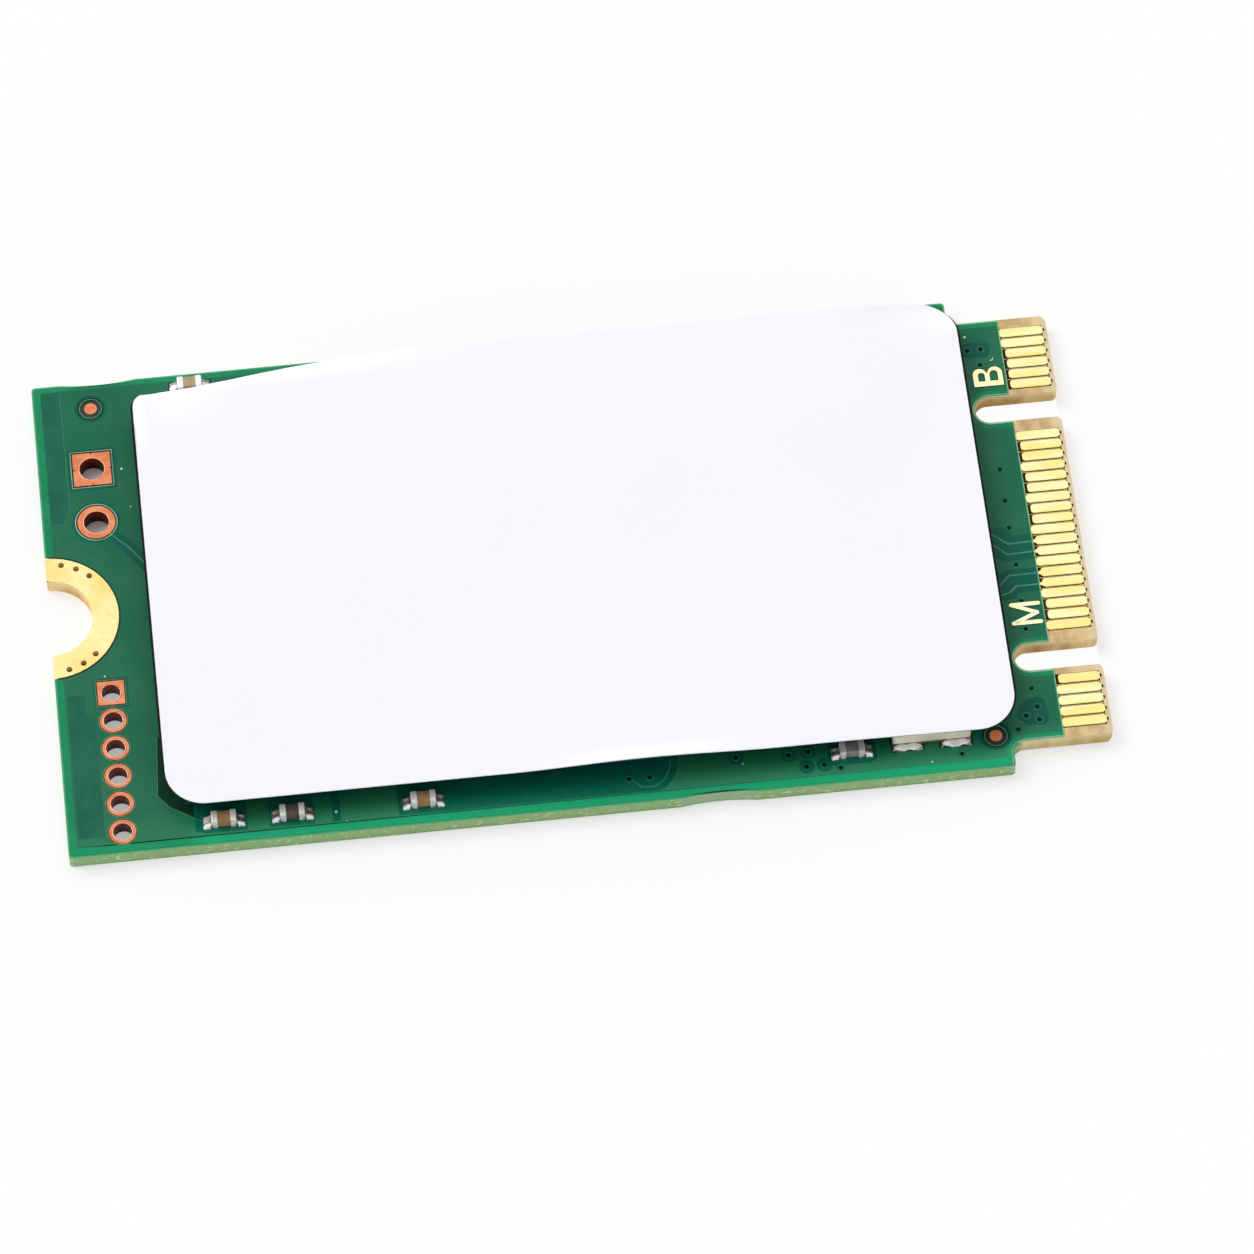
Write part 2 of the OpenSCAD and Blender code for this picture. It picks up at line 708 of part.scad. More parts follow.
module header_hole_square() {
    color("Coral") plated_hole(HEADER[0], header_hole_d, header_land_d, true);
}

module header_holes_round() {
    color("Coral") for (i = [1:header_n - 1])
        plated_hole(HEADER[i], header_hole_d, header_land_d, false);
}

module fiducials() {
    color("Coral") for (f = FIDUCIALS)
        translate([f[0], f[1], face_z]) cylinder(d = fiducial_d, h = copper_t);
}

module capacitor_1_body() { color("Tan") place(cap_1) chip_body(small_chip); }
module capacitor_1_caps() { color("Silver") place(cap_1) chip_caps(small_chip); }
module capacitor_1_solder() { color("Gainsboro") place(cap_1) chip_joints(small_chip); }

module capacitor_2_body() { color("DimGray") place(cap_2) chip_body(small_chip); }
module capacitor_2_caps() { color("Silver") place(cap_2) chip_caps(small_chip); }
module capacitor_2_solder() { color("Gainsboro") place(cap_2) chip_joints(small_chip); }

module capacitor_3_body() { color("Tan") place(cap_3) chip_body(small_chip); }
module capacitor_3_caps() { color("Silver") place(cap_3) chip_caps(small_chip); }
module capacitor_3_solder() { color("Gainsboro") place(cap_3) chip_joints(small_chip); }

module capacitor_4_body() { color("DimGray") place(cap_4) chip_body(small_chip); }
module capacitor_4_caps() { color("Silver") place(cap_4) chip_caps(small_chip); }
module capacitor_4_solder() { color("Gainsboro") place(cap_4) chip_joints(small_chip); }

module capacitor_5_body() { color("Tan") place(cap_5) chip_body(small_chip); }
module capacitor_5_caps() { color("Silver") place(cap_5) chip_caps(small_chip); }
module capacitor_5_solder() { color("Gainsboro") place(cap_5) chip_joints(small_chip); }

module crystal_base() {
    color("DimGray") translate([crystal_x, crystal_y, seat_z]) linear_extrude(crystal_base_t)
        rounded(crystal_l, crystal_w, crystal_r);
}

module crystal_can() {
    can_h = crystal_h - crystal_base_t;
    color("LightGray") translate([crystal_x, crystal_y, seat_z + crystal_base_t]) intersection() {
        linear_extrude(can_h) rounded(crystal_l, crystal_w, crystal_r);
        translate([0, crystal_w / 2, 0]) rotate([90, 0, 0]) linear_extrude(crystal_w)
            translate([0, can_h / 2 - crystal_r])
                rounded(crystal_l, can_h + 2 * crystal_r, crystal_r);
        translate([-crystal_l / 2, 0, 0]) rotate([90, 0, 90]) linear_extrude(crystal_l)
            translate([0, can_h / 2 - crystal_r])
                rounded(crystal_w, can_h + 2 * crystal_r, crystal_r);
    }
}

module crystal_solder() {
    color("Gainsboro") for (x = [-1, 1], turn = [0, 180])
        translate([crystal_x, crystal_y, seat_z]) rotate(turn) {
            translate([
                x * (crystal_l - crystal_land_l) / 2 - crystal_land_l / 2,
                -crystal_w / 2 - crystal_land_out,
                -seat_h
            ]) cube([crystal_land_l, crystal_pad_w, seat_h]);
            translate([x * (crystal_l - crystal_land_l) / 2 - crystal_land_l / 2,
                -crystal_w / 2, 0]) rotate([90, 0, 90]) mirror([1, 0, 0])
                linear_extrude(crystal_land_l) solder_section(crystal_land_out, crystal_h * 0.3);
        }
}

module flash_1_mould() {
    color("DarkSlateGray") flash_slab(flash_1_x, ball_h + substrate_t, flash_h - ball_h - substrate_t);
}
module flash_1_substrate() { color("DarkGreen") flash_slab(flash_1_x, ball_h, substrate_t); }
module flash_1_balls() { color("Gainsboro") ball_grid(flash_1_x); }

module flash_2_mould() {
    color("DarkSlateGray") flash_slab(flash_2_x, ball_h + substrate_t, flash_h - ball_h - substrate_t);
}
module flash_2_substrate() { color("DarkGreen") flash_slab(flash_2_x, ball_h, substrate_t); }
module flash_2_balls() { color("Gainsboro") ball_grid(flash_2_x); }

module controller_mould() {
    color("DarkSlateGray") place([controller_x, controller_y, 0])
        leadless_mould(controller_w, controller_h, controller_leads_n, controller_pitch);
}
module controller_leads() {
    color("Gainsboro") place([controller_x, controller_y, 0])
        leadless_leads(controller_w, controller_leads_n, controller_pitch, seat_h);
}

module regulator_mould() {
    color("DarkSlateGray") place([regulator_x, regulator_y, 0])
        leadless_mould(regulator_w, regulator_h, regulator_leads_n, regulator_pitch);
}
module regulator_leads() {
    color("Gainsboro") place([regulator_x, regulator_y, 0])
        leadless_leads(regulator_w, regulator_leads_n, regulator_pitch, seat_h);
}

module power_inductor_body() {
    color("DimGray") place([choke_x, regulator_y, 0]) chip_body(choke_chip);
}
module power_inductor_caps() {
    color("Silver") place([choke_x, regulator_y, 0]) chip_caps(choke_chip);
}
module power_inductor_solder() {
    color("Gainsboro") place([choke_x, regulator_y, 0]) chip_joints(choke_chip);
}

module supply_capacitor_bodies() { color("Tan") for (c = BULK_CHIPS) place(c) chip_body(bulk_chip); }
module supply_capacitor_caps() { color("Silver") for (c = BULK_CHIPS) place(c) chip_caps(bulk_chip); }
module supply_capacitor_solder() {
    color("Gainsboro") for (c = BULK_CHIPS) place(c) chip_joints(bulk_chip);
}

module hidden_capacitor_bodies() {
    color("Tan") for (c = HIDDEN_CHIPS) place(c) chip_body(small_chip);
}
module hidden_capacitor_caps() {
    color("Silver") for (c = HIDDEN_CHIPS) place(c) chip_caps(small_chip);
}
module hidden_capacitor_solder() {
    color("Gainsboro") for (c = HIDDEN_CHIPS) place(c) chip_joints(small_chip);
}

module label() {
    stations = label_stations();
    rows = row_steps + 1;
    count = len(stations);
    layer = count * rows;
    points = [for (d = [0, label_t], s = stations, j = [0:row_steps])
        let (low = label_y0 + s[1], high = label_y1 - s[1])
        label_point(s[0], row_y(j, low, high), d)];
    top = [for (i = [0:count - 2], j = [0:row_steps - 1])
        let (a = i * rows + j, b = a + rows) each [[a, a + 1, b + 1], [a, b + 1, b]]];
    bottom = [for (t = top) [t[2] + layer, t[1] + layer, t[0] + layer]];
    rim = concat(
        [for (j = [0:row_steps - 1]) j],
        [for (i = [0:count - 2]) i * rows + row_steps],
        [for (j = [row_steps:-1:1]) (count - 1) * rows + j],
        [for (i = [count - 1:-1:1]) i * rows]
    );
    sides = [for (k = [0:len(rim) - 1])
        let (a = rim[k], b = rim[(k + 1) % len(rim)])
        each [[a, a + layer, b + layer], [a, b + layer, b]]];
    color("WhiteSmoke") polyhedron(points, concat(top, bottom, sides));
}

circuit_board();
solder_mask_top();
solder_mask_bottom();
edge_contacts_top();
edge_contacts_bottom();
mounting_pad_top();
mounting_pad_bottom();
large_hole_square();
large_hole_round();
header_hole_square();
header_holes_round();
fiducials();
capacitor_1_body();
capacitor_1_caps();
capacitor_1_solder();
capacitor_2_body();
capacitor_2_caps();
capacitor_2_solder();
capacitor_3_body();
capacitor_3_caps();
capacitor_3_solder();
capacitor_4_body();
capacitor_4_caps();
capacitor_4_solder();
capacitor_5_body();
capacitor_5_caps();
capacitor_5_solder();
crystal_base();
crystal_can();
crystal_solder();
flash_1_mould();
flash_1_substrate();
flash_1_balls();
flash_2_mould();
flash_2_substrate();
flash_2_balls();
controller_mould();
controller_leads();
regulator_mould();
regulator_leads();
power_inductor_body();
power_inductor_caps();
power_inductor_solder();
supply_capacitor_bodies();
supply_capacitor_caps();
supply_capacitor_solder();
hidden_capacitor_bodies();
hidden_capacitor_caps();
hidden_capacitor_solder();
label();
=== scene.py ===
import math
import random

import bpy
from mathutils import Matrix, Vector


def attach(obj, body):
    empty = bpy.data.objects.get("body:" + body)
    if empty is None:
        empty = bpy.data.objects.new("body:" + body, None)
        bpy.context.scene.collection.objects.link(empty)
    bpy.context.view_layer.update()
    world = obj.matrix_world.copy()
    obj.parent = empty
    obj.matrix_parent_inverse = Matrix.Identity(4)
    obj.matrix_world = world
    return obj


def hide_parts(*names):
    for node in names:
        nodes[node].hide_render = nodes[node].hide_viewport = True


MM = 0.001
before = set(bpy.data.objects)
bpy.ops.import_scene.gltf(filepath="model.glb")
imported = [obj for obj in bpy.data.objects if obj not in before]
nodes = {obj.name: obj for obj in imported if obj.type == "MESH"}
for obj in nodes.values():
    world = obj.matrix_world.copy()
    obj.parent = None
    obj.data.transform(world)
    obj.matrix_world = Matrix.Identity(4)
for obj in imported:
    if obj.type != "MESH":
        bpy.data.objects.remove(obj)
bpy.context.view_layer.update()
rng = random.Random(7)

# Camera, at the photograph's place and angle, in millimetres and degrees
AZIMUTH, ELEVATION, DISTANCE = -6.33, 60.31, 281.2
AIM = Vector((2.1725, -2.7302, 0.4))
FOCAL_LENGTH, SENSOR = 199.58, 36
azimuth, elevation = math.radians(AZIMUTH), math.radians(ELEVATION)
back = Vector((
    math.sin(azimuth) * math.cos(elevation),
    -math.cos(azimuth) * math.cos(elevation),
    math.sin(elevation),
))
camera_data = bpy.data.cameras.new("camera")
camera_data.lens = FOCAL_LENGTH
camera_data.sensor_width = SENSOR
camera_data.clip_start = 0.01
camera_data.clip_end = 50
camera = bpy.data.objects.new("camera", camera_data)
bpy.context.scene.collection.objects.link(camera)
camera.location = (AIM + DISTANCE * back) * MM
camera.rotation_mode = "QUATERNION"
camera.rotation_quaternion = (-back).to_track_quat("-Z", "Y")
bpy.context.scene.camera = camera
bpy.context.scene.view_settings.view_transform = "Standard"

# Card in millimetres, from the middle of its plan and the surface it lies on
CARD_END, CARD_SIDE = 21, 11
MASK_TOP, COPPER_TOP = 0.785, 0.8
NECK_X, NECK_R, TONGUE_SIDE = 16.9, 0.5, 9.925
MASK_END = 19.0
KEYS, KEY_X, KEY_R, KEY_CLEAR = (-6.125, 5.625), 18.1, 0.6, 0.9
HOLE_X = -18.79
LARGE = [(HOLE_X, 6.85), (HOLE_X, 4.31)]
HEADER = [(HOLE_X, -3.7 - 1.27 * i) for i in range(6)]
FIDUCIALS = [(-18.64, 9.74), (16.27, -9.55)]
CHIPS = [(-14.75, -10.04), (-12.02, -10.04), (-6.79, -10.04), (10.44, -9.68), (-14.5, 10.31)]
CRYSTAL = (13.67, -8.33)
CRYSTAL_LAND_X = 0.975


# Materials

def rgb(r, g, b):
    """The linear colour of an sRGB one given from 0 to 255."""
    def linear(v):
        v /= 255
        return v / 12.92 if v <= 0.04045 else ((v + 0.055) / 1.055) ** 2.4
    return (linear(r), linear(g), linear(b), 1)


def put(tree, socket, value):
    """Link a socket to another one, or set its value."""
    if isinstance(value, bpy.types.NodeSocket):
        tree.links.new(value, socket)
    else:
        socket.default_value = value


def calculate(tree, kind, *values):
    """A math node over sockets and numbers."""
    node = tree.nodes.new("ShaderNodeMath")
    node.operation = kind
    for socket, value in zip(node.inputs, values):
        put(tree, socket, value)
    return node.outputs[0]


def smooth_range(tree, value, low, high, to_low, to_high):
    """A soft step from one number to another while the value runs from low to high."""
    node = tree.nodes.new("ShaderNodeMapRange")
    node.interpolation_type = "SMOOTHSTEP"
    put(tree, node.inputs["Value"], value)
    numbers = {"From Min": low, "From Max": high, "To Min": to_low, "To Max": to_high}
    for name, number in numbers.items():
        node.inputs[name].default_value = number
    return node.outputs["Result"]


class Graph:
    """A material's nodes, with short calls for the few kinds used here."""

    def __init__(self, name):
        self.mat = bpy.data.materials.new(name)
        self.mat.use_nodes = True
        self.tree = self.mat.node_tree
        self.bsdf = self.tree.nodes["Principled BSDF"]
        self.place = self.tree.nodes.new("ShaderNodeTexCoord").outputs["Object"]

    def noise(self, scale, detail=2.0, stretch=None):
        """Noise with that many features to the metre."""
        place = self.place
        if stretch:
            mapping = self.tree.nodes.new("ShaderNodeMapping")
            mapping.inputs["Scale"].default_value = stretch
            put(self.tree, mapping.inputs["Vector"], place)
            place = mapping.outputs["Vector"]
        node = self.tree.nodes.new("ShaderNodeTexNoise")
        node.inputs["Scale"].default_value = scale
        node.inputs["Detail"].default_value = detail
        put(self.tree, node.inputs["Vector"], place)
        return node.outputs["Fac"]

    def math(self, kind, *values):
        return calculate(self.tree, kind, *values)

    def ramp(self, value, low, high, to_low=0.0, to_high=1.0):
        return smooth_range(self.tree, value, low, high, to_low, to_high)

    def reach(self, value, start, end, to_low=0.0, to_high=1.0):
        """A ramp between two places given in millimetres."""
        return self.ramp(value, start * MM, end * MM, to_low, to_high)

    def mix(self, share, a, b):
        node = self.tree.nodes.new("ShaderNodeMix")
        node.data_type = "RGBA"
        put(self.tree, node.inputs[0], share)
        put(self.tree, node.inputs[6], a)
        put(self.tree, node.inputs[7], b)
        return node.outputs[2]

    def blend(self, a, share_a, b, share_b):
        """The sum of two values, each by its share."""
        return self.math("ADD", self.math("MULTIPLY", a, share_a), self.math("MULTIPLY", b, share_b))

    def split(self, vector):
        node = self.tree.nodes.new("ShaderNodeSeparateXYZ")
        put(self.tree, node.inputs[0], vector)
        return node.outputs

    def upright(self):
        """1 on a face that looks up or down, 0 on one that looks sideways."""
        normal = self.tree.nodes.new("ShaderNodeNewGeometry").outputs["Normal"]
        return self.math("ABSOLUTE", self.split(normal)[2])

    def bump(self, height, strength, depth):
        node = self.tree.nodes.new("ShaderNodeBump")
        node.inputs["Strength"].default_value = strength
        node.inputs["Distance"].default_value = depth * MM
        put(self.tree, node.inputs["Height"], height)
        put(self.tree, self.bsdf.inputs["Normal"], node.outputs["Normal"])

    def finish(self, colour, rough, metallic=0.0, specular=0.5):
        put(self.tree, self.bsdf.inputs["Base Color"], colour)
        put(self.tree, self.bsdf.inputs["Roughness"], rough)
        self.bsdf.inputs["Metallic"].default_value = metallic
        self.bsdf.inputs["Specular IOR Level"].default_value = specular
        return self.mat


# Ranges of a noise that a ramp spreads over its whole span: the narrower, the harder the patches
WIDE, NARROW = (0.3, 0.7), (0.35, 0.65)
# Where the mask is painted lighter along the card's near edge: painted light, standing for light that comes
# back out of the laminate and lifting the shade under the label's edge
GLOW_X, GLOW_Y = (-16.8, -15.0), (-9.1, -10.5)


def plain(name, dark, light, patch, grain, rough, metallic=0.0, specular=0.5,
          relief=0.3, depth=0.004, stretch=None, near=None):
    """Two colours in soft patches with a fine grain, which also drives roughness and relief.
    patch, grain and depth are in millimetres, and near is the colour at the card's near edge, painted light
    there."""
    g = Graph(name)
    broad = g.ramp(g.noise(1000 / patch, 2, stretch), *NARROW)
    fine = g.noise(1000 / grain, 3, stretch)
    share = g.blend(broad, 0.7, g.ramp(fine, *WIDE), 0.3)
    g.bump(fine, relief, depth)
    colour = g.mix(share, dark, light)
    # Painted light: the colour turns to near along the card's near edge
    if near:
        x, y, _ = g.split(g.place)
        glow = g.math("MULTIPLY", g.reach(y, *GLOW_Y), g.reach(x, *GLOW_X, 0.3, 1.0))
        colour = g.mix(glow, colour, near)
    return g.finish(colour, g.ramp(fine, *WIDE, *rough), metallic, specular)


def metal(name, dark, light, patch, grain, rough, metallic=1.0, relief=0.3, stretch=None):
    """A plain finish with a shallower grain."""
    return plain(name, dark, light, patch, grain, rough, metallic, relief=relief, depth=0.002,
                 stretch=stretch)


# Solder mask over laminate, over copper and in the gaps between
# Painted light: the near colours brighten the mask along the card's near edge
mask_base = plain("mask_bare", rgb(0, 122, 78), rgb(4, 142, 92), patch=2.5, grain=0.12,
                  rough=(0.22, 0.34), specular=0.22, near=rgb(0, 168, 114))
mask_pour = plain("mask_over_copper", rgb(0, 100, 72), rgb(34, 112, 78), patch=3.2, grain=0.1,
                  rough=(0.25, 0.38), specular=0.22, near=rgb(48, 140, 98))
mask_moat = plain("mask_moat", rgb(0, 88, 70), rgb(6, 98, 78), patch=1.5, grain=0.12,
                  rough=(0.2, 0.34), specular=0.14, near=rgb(12, 114, 90))
mask_window = plain("mask_window", rgb(12, 94, 72), rgb(28, 104, 80), patch=1.2, grain=0.12,
                    rough=(0.25, 0.38), specular=0.18)
# Pale mask over the traces: a painted highlight on their raised tops
mask_trace_highlight = plain("mask_over_trace_highlight", rgb(58, 134, 108), rgb(84, 154, 124), patch=1.0, grain=0.1,
                   rough=(0.22, 0.34), specular=0.3)
# Painted shade, for mask that lies in shade
mask_painted_shade = plain("mask_shade", rgb(0, 44, 28), rgb(4, 58, 38), patch=0.6, grain=0.1,
                  rough=(0.4, 0.6), specular=0.1)
# Pale edges: painted highlights where raised edges of the mask catch the light, with some of the paler tone
# of the thinner mask over the copper's edge
mask_rim_highlight = plain("mask_edge_highlight", rgb(132, 178, 142), rgb(172, 206, 168), patch=0.8, grain=0.1,
                 rough=(0.25, 0.4), specular=0.4)
mask_dim_rim_highlight = plain("mask_opening_edge_highlight", rgb(88, 128, 98), rgb(114, 148, 116), patch=0.5, grain=0.1,
                     rough=(0.3, 0.45), specular=0.3)
# The via rings' lighter green: a painted highlight on the tented copper's raised rim
via_rim_highlight = plain("via_edge_highlight", rgb(22, 108, 82), rgb(42, 126, 98), patch=0.5, grain=0.1,
                rough=(0.25, 0.38), specular=0.3)
mask_soft_rim_highlight = plain("mask_relief_edge_highlight", rgb(48, 128, 98), rgb(72, 146, 112), patch=0.8, grain=0.1,
                      rough=(0.22, 0.34), specular=0.4)

# Metals
gold = metal("gold_plating", rgb(250, 230, 138), rgb(255, 246, 192), patch=0.9, grain=0.07,
             rough=(0.3, 0.46), relief=0.25, stretch=(0.3, 1.4, 1))
gold_ring = metal("gold_ring_plating", rgb(248, 212, 124), rgb(255, 232, 170), patch=1.6, grain=0.07,
                  rough=(0.28, 0.44))
gold_letter = metal("gold_letter", rgb(254, 244, 176), rgb(255, 252, 214), patch=0.6, grain=0.06,
                    rough=(0.36, 0.5))
copper_dot = metal("bare_copper_dot", rgb(216, 112, 68), rgb(240, 140, 96), patch=0.3, grain=0.05,
                   rough=(0.34, 0.5), metallic=0.35)
# Brighter copper, painted light on the right fiducial in the label's shade
copper_glint = plain("copper_glint", rgb(250, 128, 74), rgb(255, 158, 104), patch=0.2, grain=0.05,
                     rough=(0.4, 0.5))
# Pale copper round the bores' edges, a painted highlight
copper_rim_highlight = plain("copper_rim_highlight", rgb(236, 156, 120), rgb(250, 190, 156), patch=0.4, grain=0.05,
                   rough=(0.3, 0.44), metallic=1.0)
solder = metal("solder", rgb(132, 124, 120), rgb(160, 152, 146), patch=0.3, grain=0.09,
               rough=(0.3, 0.42), metallic=0.8, relief=0.1)
# Near-white solder, a painted highlight on the joints' lobes
solder_highlight = metal("solder_highlight", rgb(246, 246, 244), rgb(255, 255, 254), patch=0.2, grain=0.08,
                      rough=(0.34, 0.46), metallic=0.1, relief=0.1)
end_cap = metal("end_cap", rgb(236, 233, 230), rgb(252, 250, 248), patch=0.25, grain=0.06,
                rough=(0.26, 0.4), metallic=0.35, relief=0.25)
can_metal = metal("can_metal", rgb(236, 222, 202), rgb(250, 240, 222), patch=0.7, grain=0.05,
                  rough=(0.36, 0.5), metallic=0.3, relief=0.25, stretch=(1, 1, 0.3))

# Ceramics, moulds and the rest
tan_ceramic = plain("tan_ceramic", rgb(142, 106, 62), rgb(166, 130, 84), patch=0.35, grain=0.03,
                    rough=(0.35, 0.5))
pale_ceramic = plain("pale_ceramic", rgb(156, 140, 102), rgb(180, 164, 124), patch=0.35, grain=0.03,
                     rough=(0.35, 0.5))
dark_ceramic = plain("dark_ceramic", rgb(74, 60, 58), rgb(98, 84, 80), patch=0.35, grain=0.03,
                     rough=(0.35, 0.5))
grey_ceramic = plain("grey_ceramic", rgb(120, 112, 110), rgb(148, 140, 138), patch=0.35, grain=0.03,
                     rough=(0.35, 0.5))
crystal_ceramic = plain("crystal_ceramic", rgb(92, 84, 74), rgb(116, 106, 94), patch=0.5, grain=0.05,
                        rough=(0.45, 0.6))
ferrite = plain("ferrite", rgb(52, 52, 54), rgb(72, 71, 72), patch=0.5, grain=0.05, rough=(0.5, 0.65))
epoxy = plain("mould_epoxy", rgb(26, 27, 29), rgb(38, 39, 41), patch=0.6, grain=0.04,
              rough=(0.5, 0.68), relief=0.6, depth=0.006)
substrate = plain("substrate", rgb(20, 74, 48), rgb(34, 92, 60), patch=0.5, grain=0.05, rough=(0.4, 0.5))
# Dark brown round the contacts: painted shade on the bare laminate between them
gap_shade_brown = plain("contact_gap_shade", rgb(34, 24, 0), rgb(62, 46, 4), patch=0.3, grain=0.05,
                  rough=(0.6, 0.8), specular=0.08)
stub_black = plain("cut_stub", rgb(18, 12, 6), rgb(44, 32, 14), patch=0.05, grain=0.02,
                   rough=(0.4, 0.6), specular=0.15)
# The vias' dark drills: painted shade of the holes under the mask
drill_painted_shade = plain("drill_painted_shade", rgb(0, 22, 12), rgb(6, 36, 22), patch=0.06, grain=0.03,
                   rough=(0.5, 0.7), specular=0.05)
speck_white = plain("speck", rgb(196, 228, 214), rgb(244, 252, 248), patch=0.05, grain=0.02,
                    rough=(0.4, 0.6))
# A dark sheet under the label, painted shadow along its left and right edges
painted_edge_shadow = plain("label_painted_edge_shadow", rgb(10, 14, 12), rgb(26, 30, 26), patch=0.8, grain=0.05,
                 rough=(0.5, 0.7), specular=0.1)


def copper_material(name, dark, light):
    """Bare copper: bright on the lands, and dark red in the bores with painted shade that deepens towards
    their foot.
    """
    g = Graph(name)
    grain = g.noise(20000, 3)
    broad = g.ramp(g.noise(2000, 2), *NARROW)
    face = g.mix(g.blend(broad, 0.6, grain, 0.4), dark, light)
    depth = g.reach(g.split(g.place)[2], 0.1, COPPER_TOP)
    # Painted shade in the bores, darker the deeper
    bore = g.mix(depth, rgb(52, 6, 0), rgb(146, 44, 16))
    flat = g.ramp(g.upright(), 0.4, 0.8)
    g.bump(grain, 0.3, 0.002)
    return g.finish(g.mix(flat, bore, face), g.ramp(grain, *WIDE, 0.3, 0.46), metallic=1.0)


# Thickness of one ply of the laminate
PLY_T = 0.085


def board_material():
    """Glass-fibre laminate: bare tan on the tongue, olive with its plies on the sawn edges."""
    g = Graph("laminate")
    x, y, z = g.split(g.place)
    side = g.math("ABSOLUTE", y)
    weave = g.noise(5200, 2, (1, 1, 0.25))

    # The sawn edges: wavy plies under cloudy and chalky marks, greener above and browner below
    waves = g.math("ADD", g.math("MULTIPLY", z, 2 * math.pi / (PLY_T * MM)),
                   g.math("MULTIPLY", g.noise(700, 2), 7))
    ply = g.ramp(g.math("SINE", waves), -0.6, 0.9)
    edge = g.mix(ply, rgb(112, 146, 92), rgb(160, 186, 122))
    cloud = g.ramp(g.noise(420, 3), *WIDE)
    edge = g.mix(g.math("MULTIPLY", cloud, 0.55), edge, rgb(128, 176, 116))
    chalk = g.ramp(g.noise(3800, 3, (1, 1, 1.6)), 0.56, 0.7)
    edge = g.mix(g.math("MULTIPLY", chalk, 0.6), edge, rgb(214, 226, 196))
    edge = g.mix(g.reach(z, 0.56, 0.75, 0.0, 0.35), edge, rgb(86, 170, 118))
    edge = g.mix(g.reach(z, 0.2, 0.05, 0.0, 0.5), edge, rgb(104, 124, 78))

    # The rough scar in the near edge where a panel tab was snapped off
    scar = g.math("MULTIPLY", g.reach(x, 3.2, 3.7), g.reach(x, 6.7, 6.1))
    scar = g.math("MULTIPLY", scar, g.reach(y, -10.5, -10.7))
    scar = g.math("MULTIPLY", scar, g.ramp(g.noise(2600, 3), 0.3, 0.6, 0.35, 1.0))
    edge = g.mix(g.math("MULTIPLY", scar, 0.6), edge, rgb(148, 176, 150))

    # The routed walls of the tongue, its key notches and the mounting notch: brown and streaked
    ends = g.math("MAXIMUM", g.reach(x, 16.85, 17.3), g.reach(x, -18.0, -18.2))
    routed = g.math("MULTIPLY", ends, g.reach(side, 9.98, 9.9))
    notch = g.reach(side, 3.0, 2.9)
    routed = g.math("MULTIPLY", routed, g.math("MAXIMUM", g.reach(x, 0, 1), notch))
    streak = g.ramp(g.noise(900, 3, (1, 1, 0.35)), *WIDE)
    brown = g.mix(streak, rgb(190, 150, 78), rgb(246, 220, 166))
    brown = g.mix(g.reach(z, 0.3, 0.72, 0.0, 0.5), brown, rgb(240, 222, 178))
    edge = g.mix(routed, edge, brown)

    # The bare face of the tongue: mottled, paler at the tip's bevel and over the weave
    mottle = g.ramp(g.noise(1300, 3, (1, 0.5, 1)), *NARROW)
    face = g.mix(mottle, rgb(190, 158, 108), rgb(226, 194, 142))
    face = g.mix(g.reach(x, 20.3, 20.95, 0.0, 0.65), face, rgb(240, 222, 180))
    fibres = g.math("MULTIPLY", g.ramp(weave, 0.45, 0.62), 0.3)
    face = g.mix(fibres, face, rgb(232, 206, 160))

    # The face under the mask: pale as a rim outside it and palest along the tongue, and dark elsewhere,
    # painted shade where it shows in the mask's openings round the lands
    rim = g.math("MAXIMUM", g.reach(x, -20.9, -20.94), g.reach(side, 10.86, 10.9))
    rim = g.math("MAXIMUM", rim, g.reach(x, 16.78, 16.8))
    under_mask = g.mix(rim, rgb(20, 60, 42), rgb(70, 164, 112))
    neck = g.math("MULTIPLY", g.reach(x, 16.8, 16.82), g.reach(side, 9.98, 9.94))
    under_mask = g.mix(neck, under_mask, rgb(164, 200, 156))
    face = g.mix(g.reach(x, 18.98, 19.02), under_mask, face)

    g.bump(g.math("ADD", weave, g.math("MULTIPLY", g.noise(2200, 3), 1.2)), 0.5, 0.012)
    colour = g.mix(g.ramp(g.upright(), 0.75, 0.9), edge, face)
    return g.finish(colour, g.ramp(weave, *WIDE, 0.5, 0.72), specular=0.35)


def label_material():
    """White film with a matt coating: hardly any tone, a fine tooth and faint broad waves."""
    g = Graph("label_film")
    tooth = g.noise(9000, 2)
    cloud = g.ramp(g.noise(90, 2), *WIDE)
    colour = g.mix(g.math("MULTIPLY", cloud, 0.6), rgb(244, 243, 248), rgb(246, 245, 250))
    g.bump(g.math("ADD", g.math("MULTIPLY", tooth, 0.12), g.noise(160, 2)), 0.25, 0.02)
    return g.finish(colour, g.ramp(tooth, *WIDE, 0.46, 0.6), specular=0.3)


laminate = board_material()
copper = copper_material("bare_copper", rgb(200, 112, 72), rgb(230, 150, 110))
film = label_material()

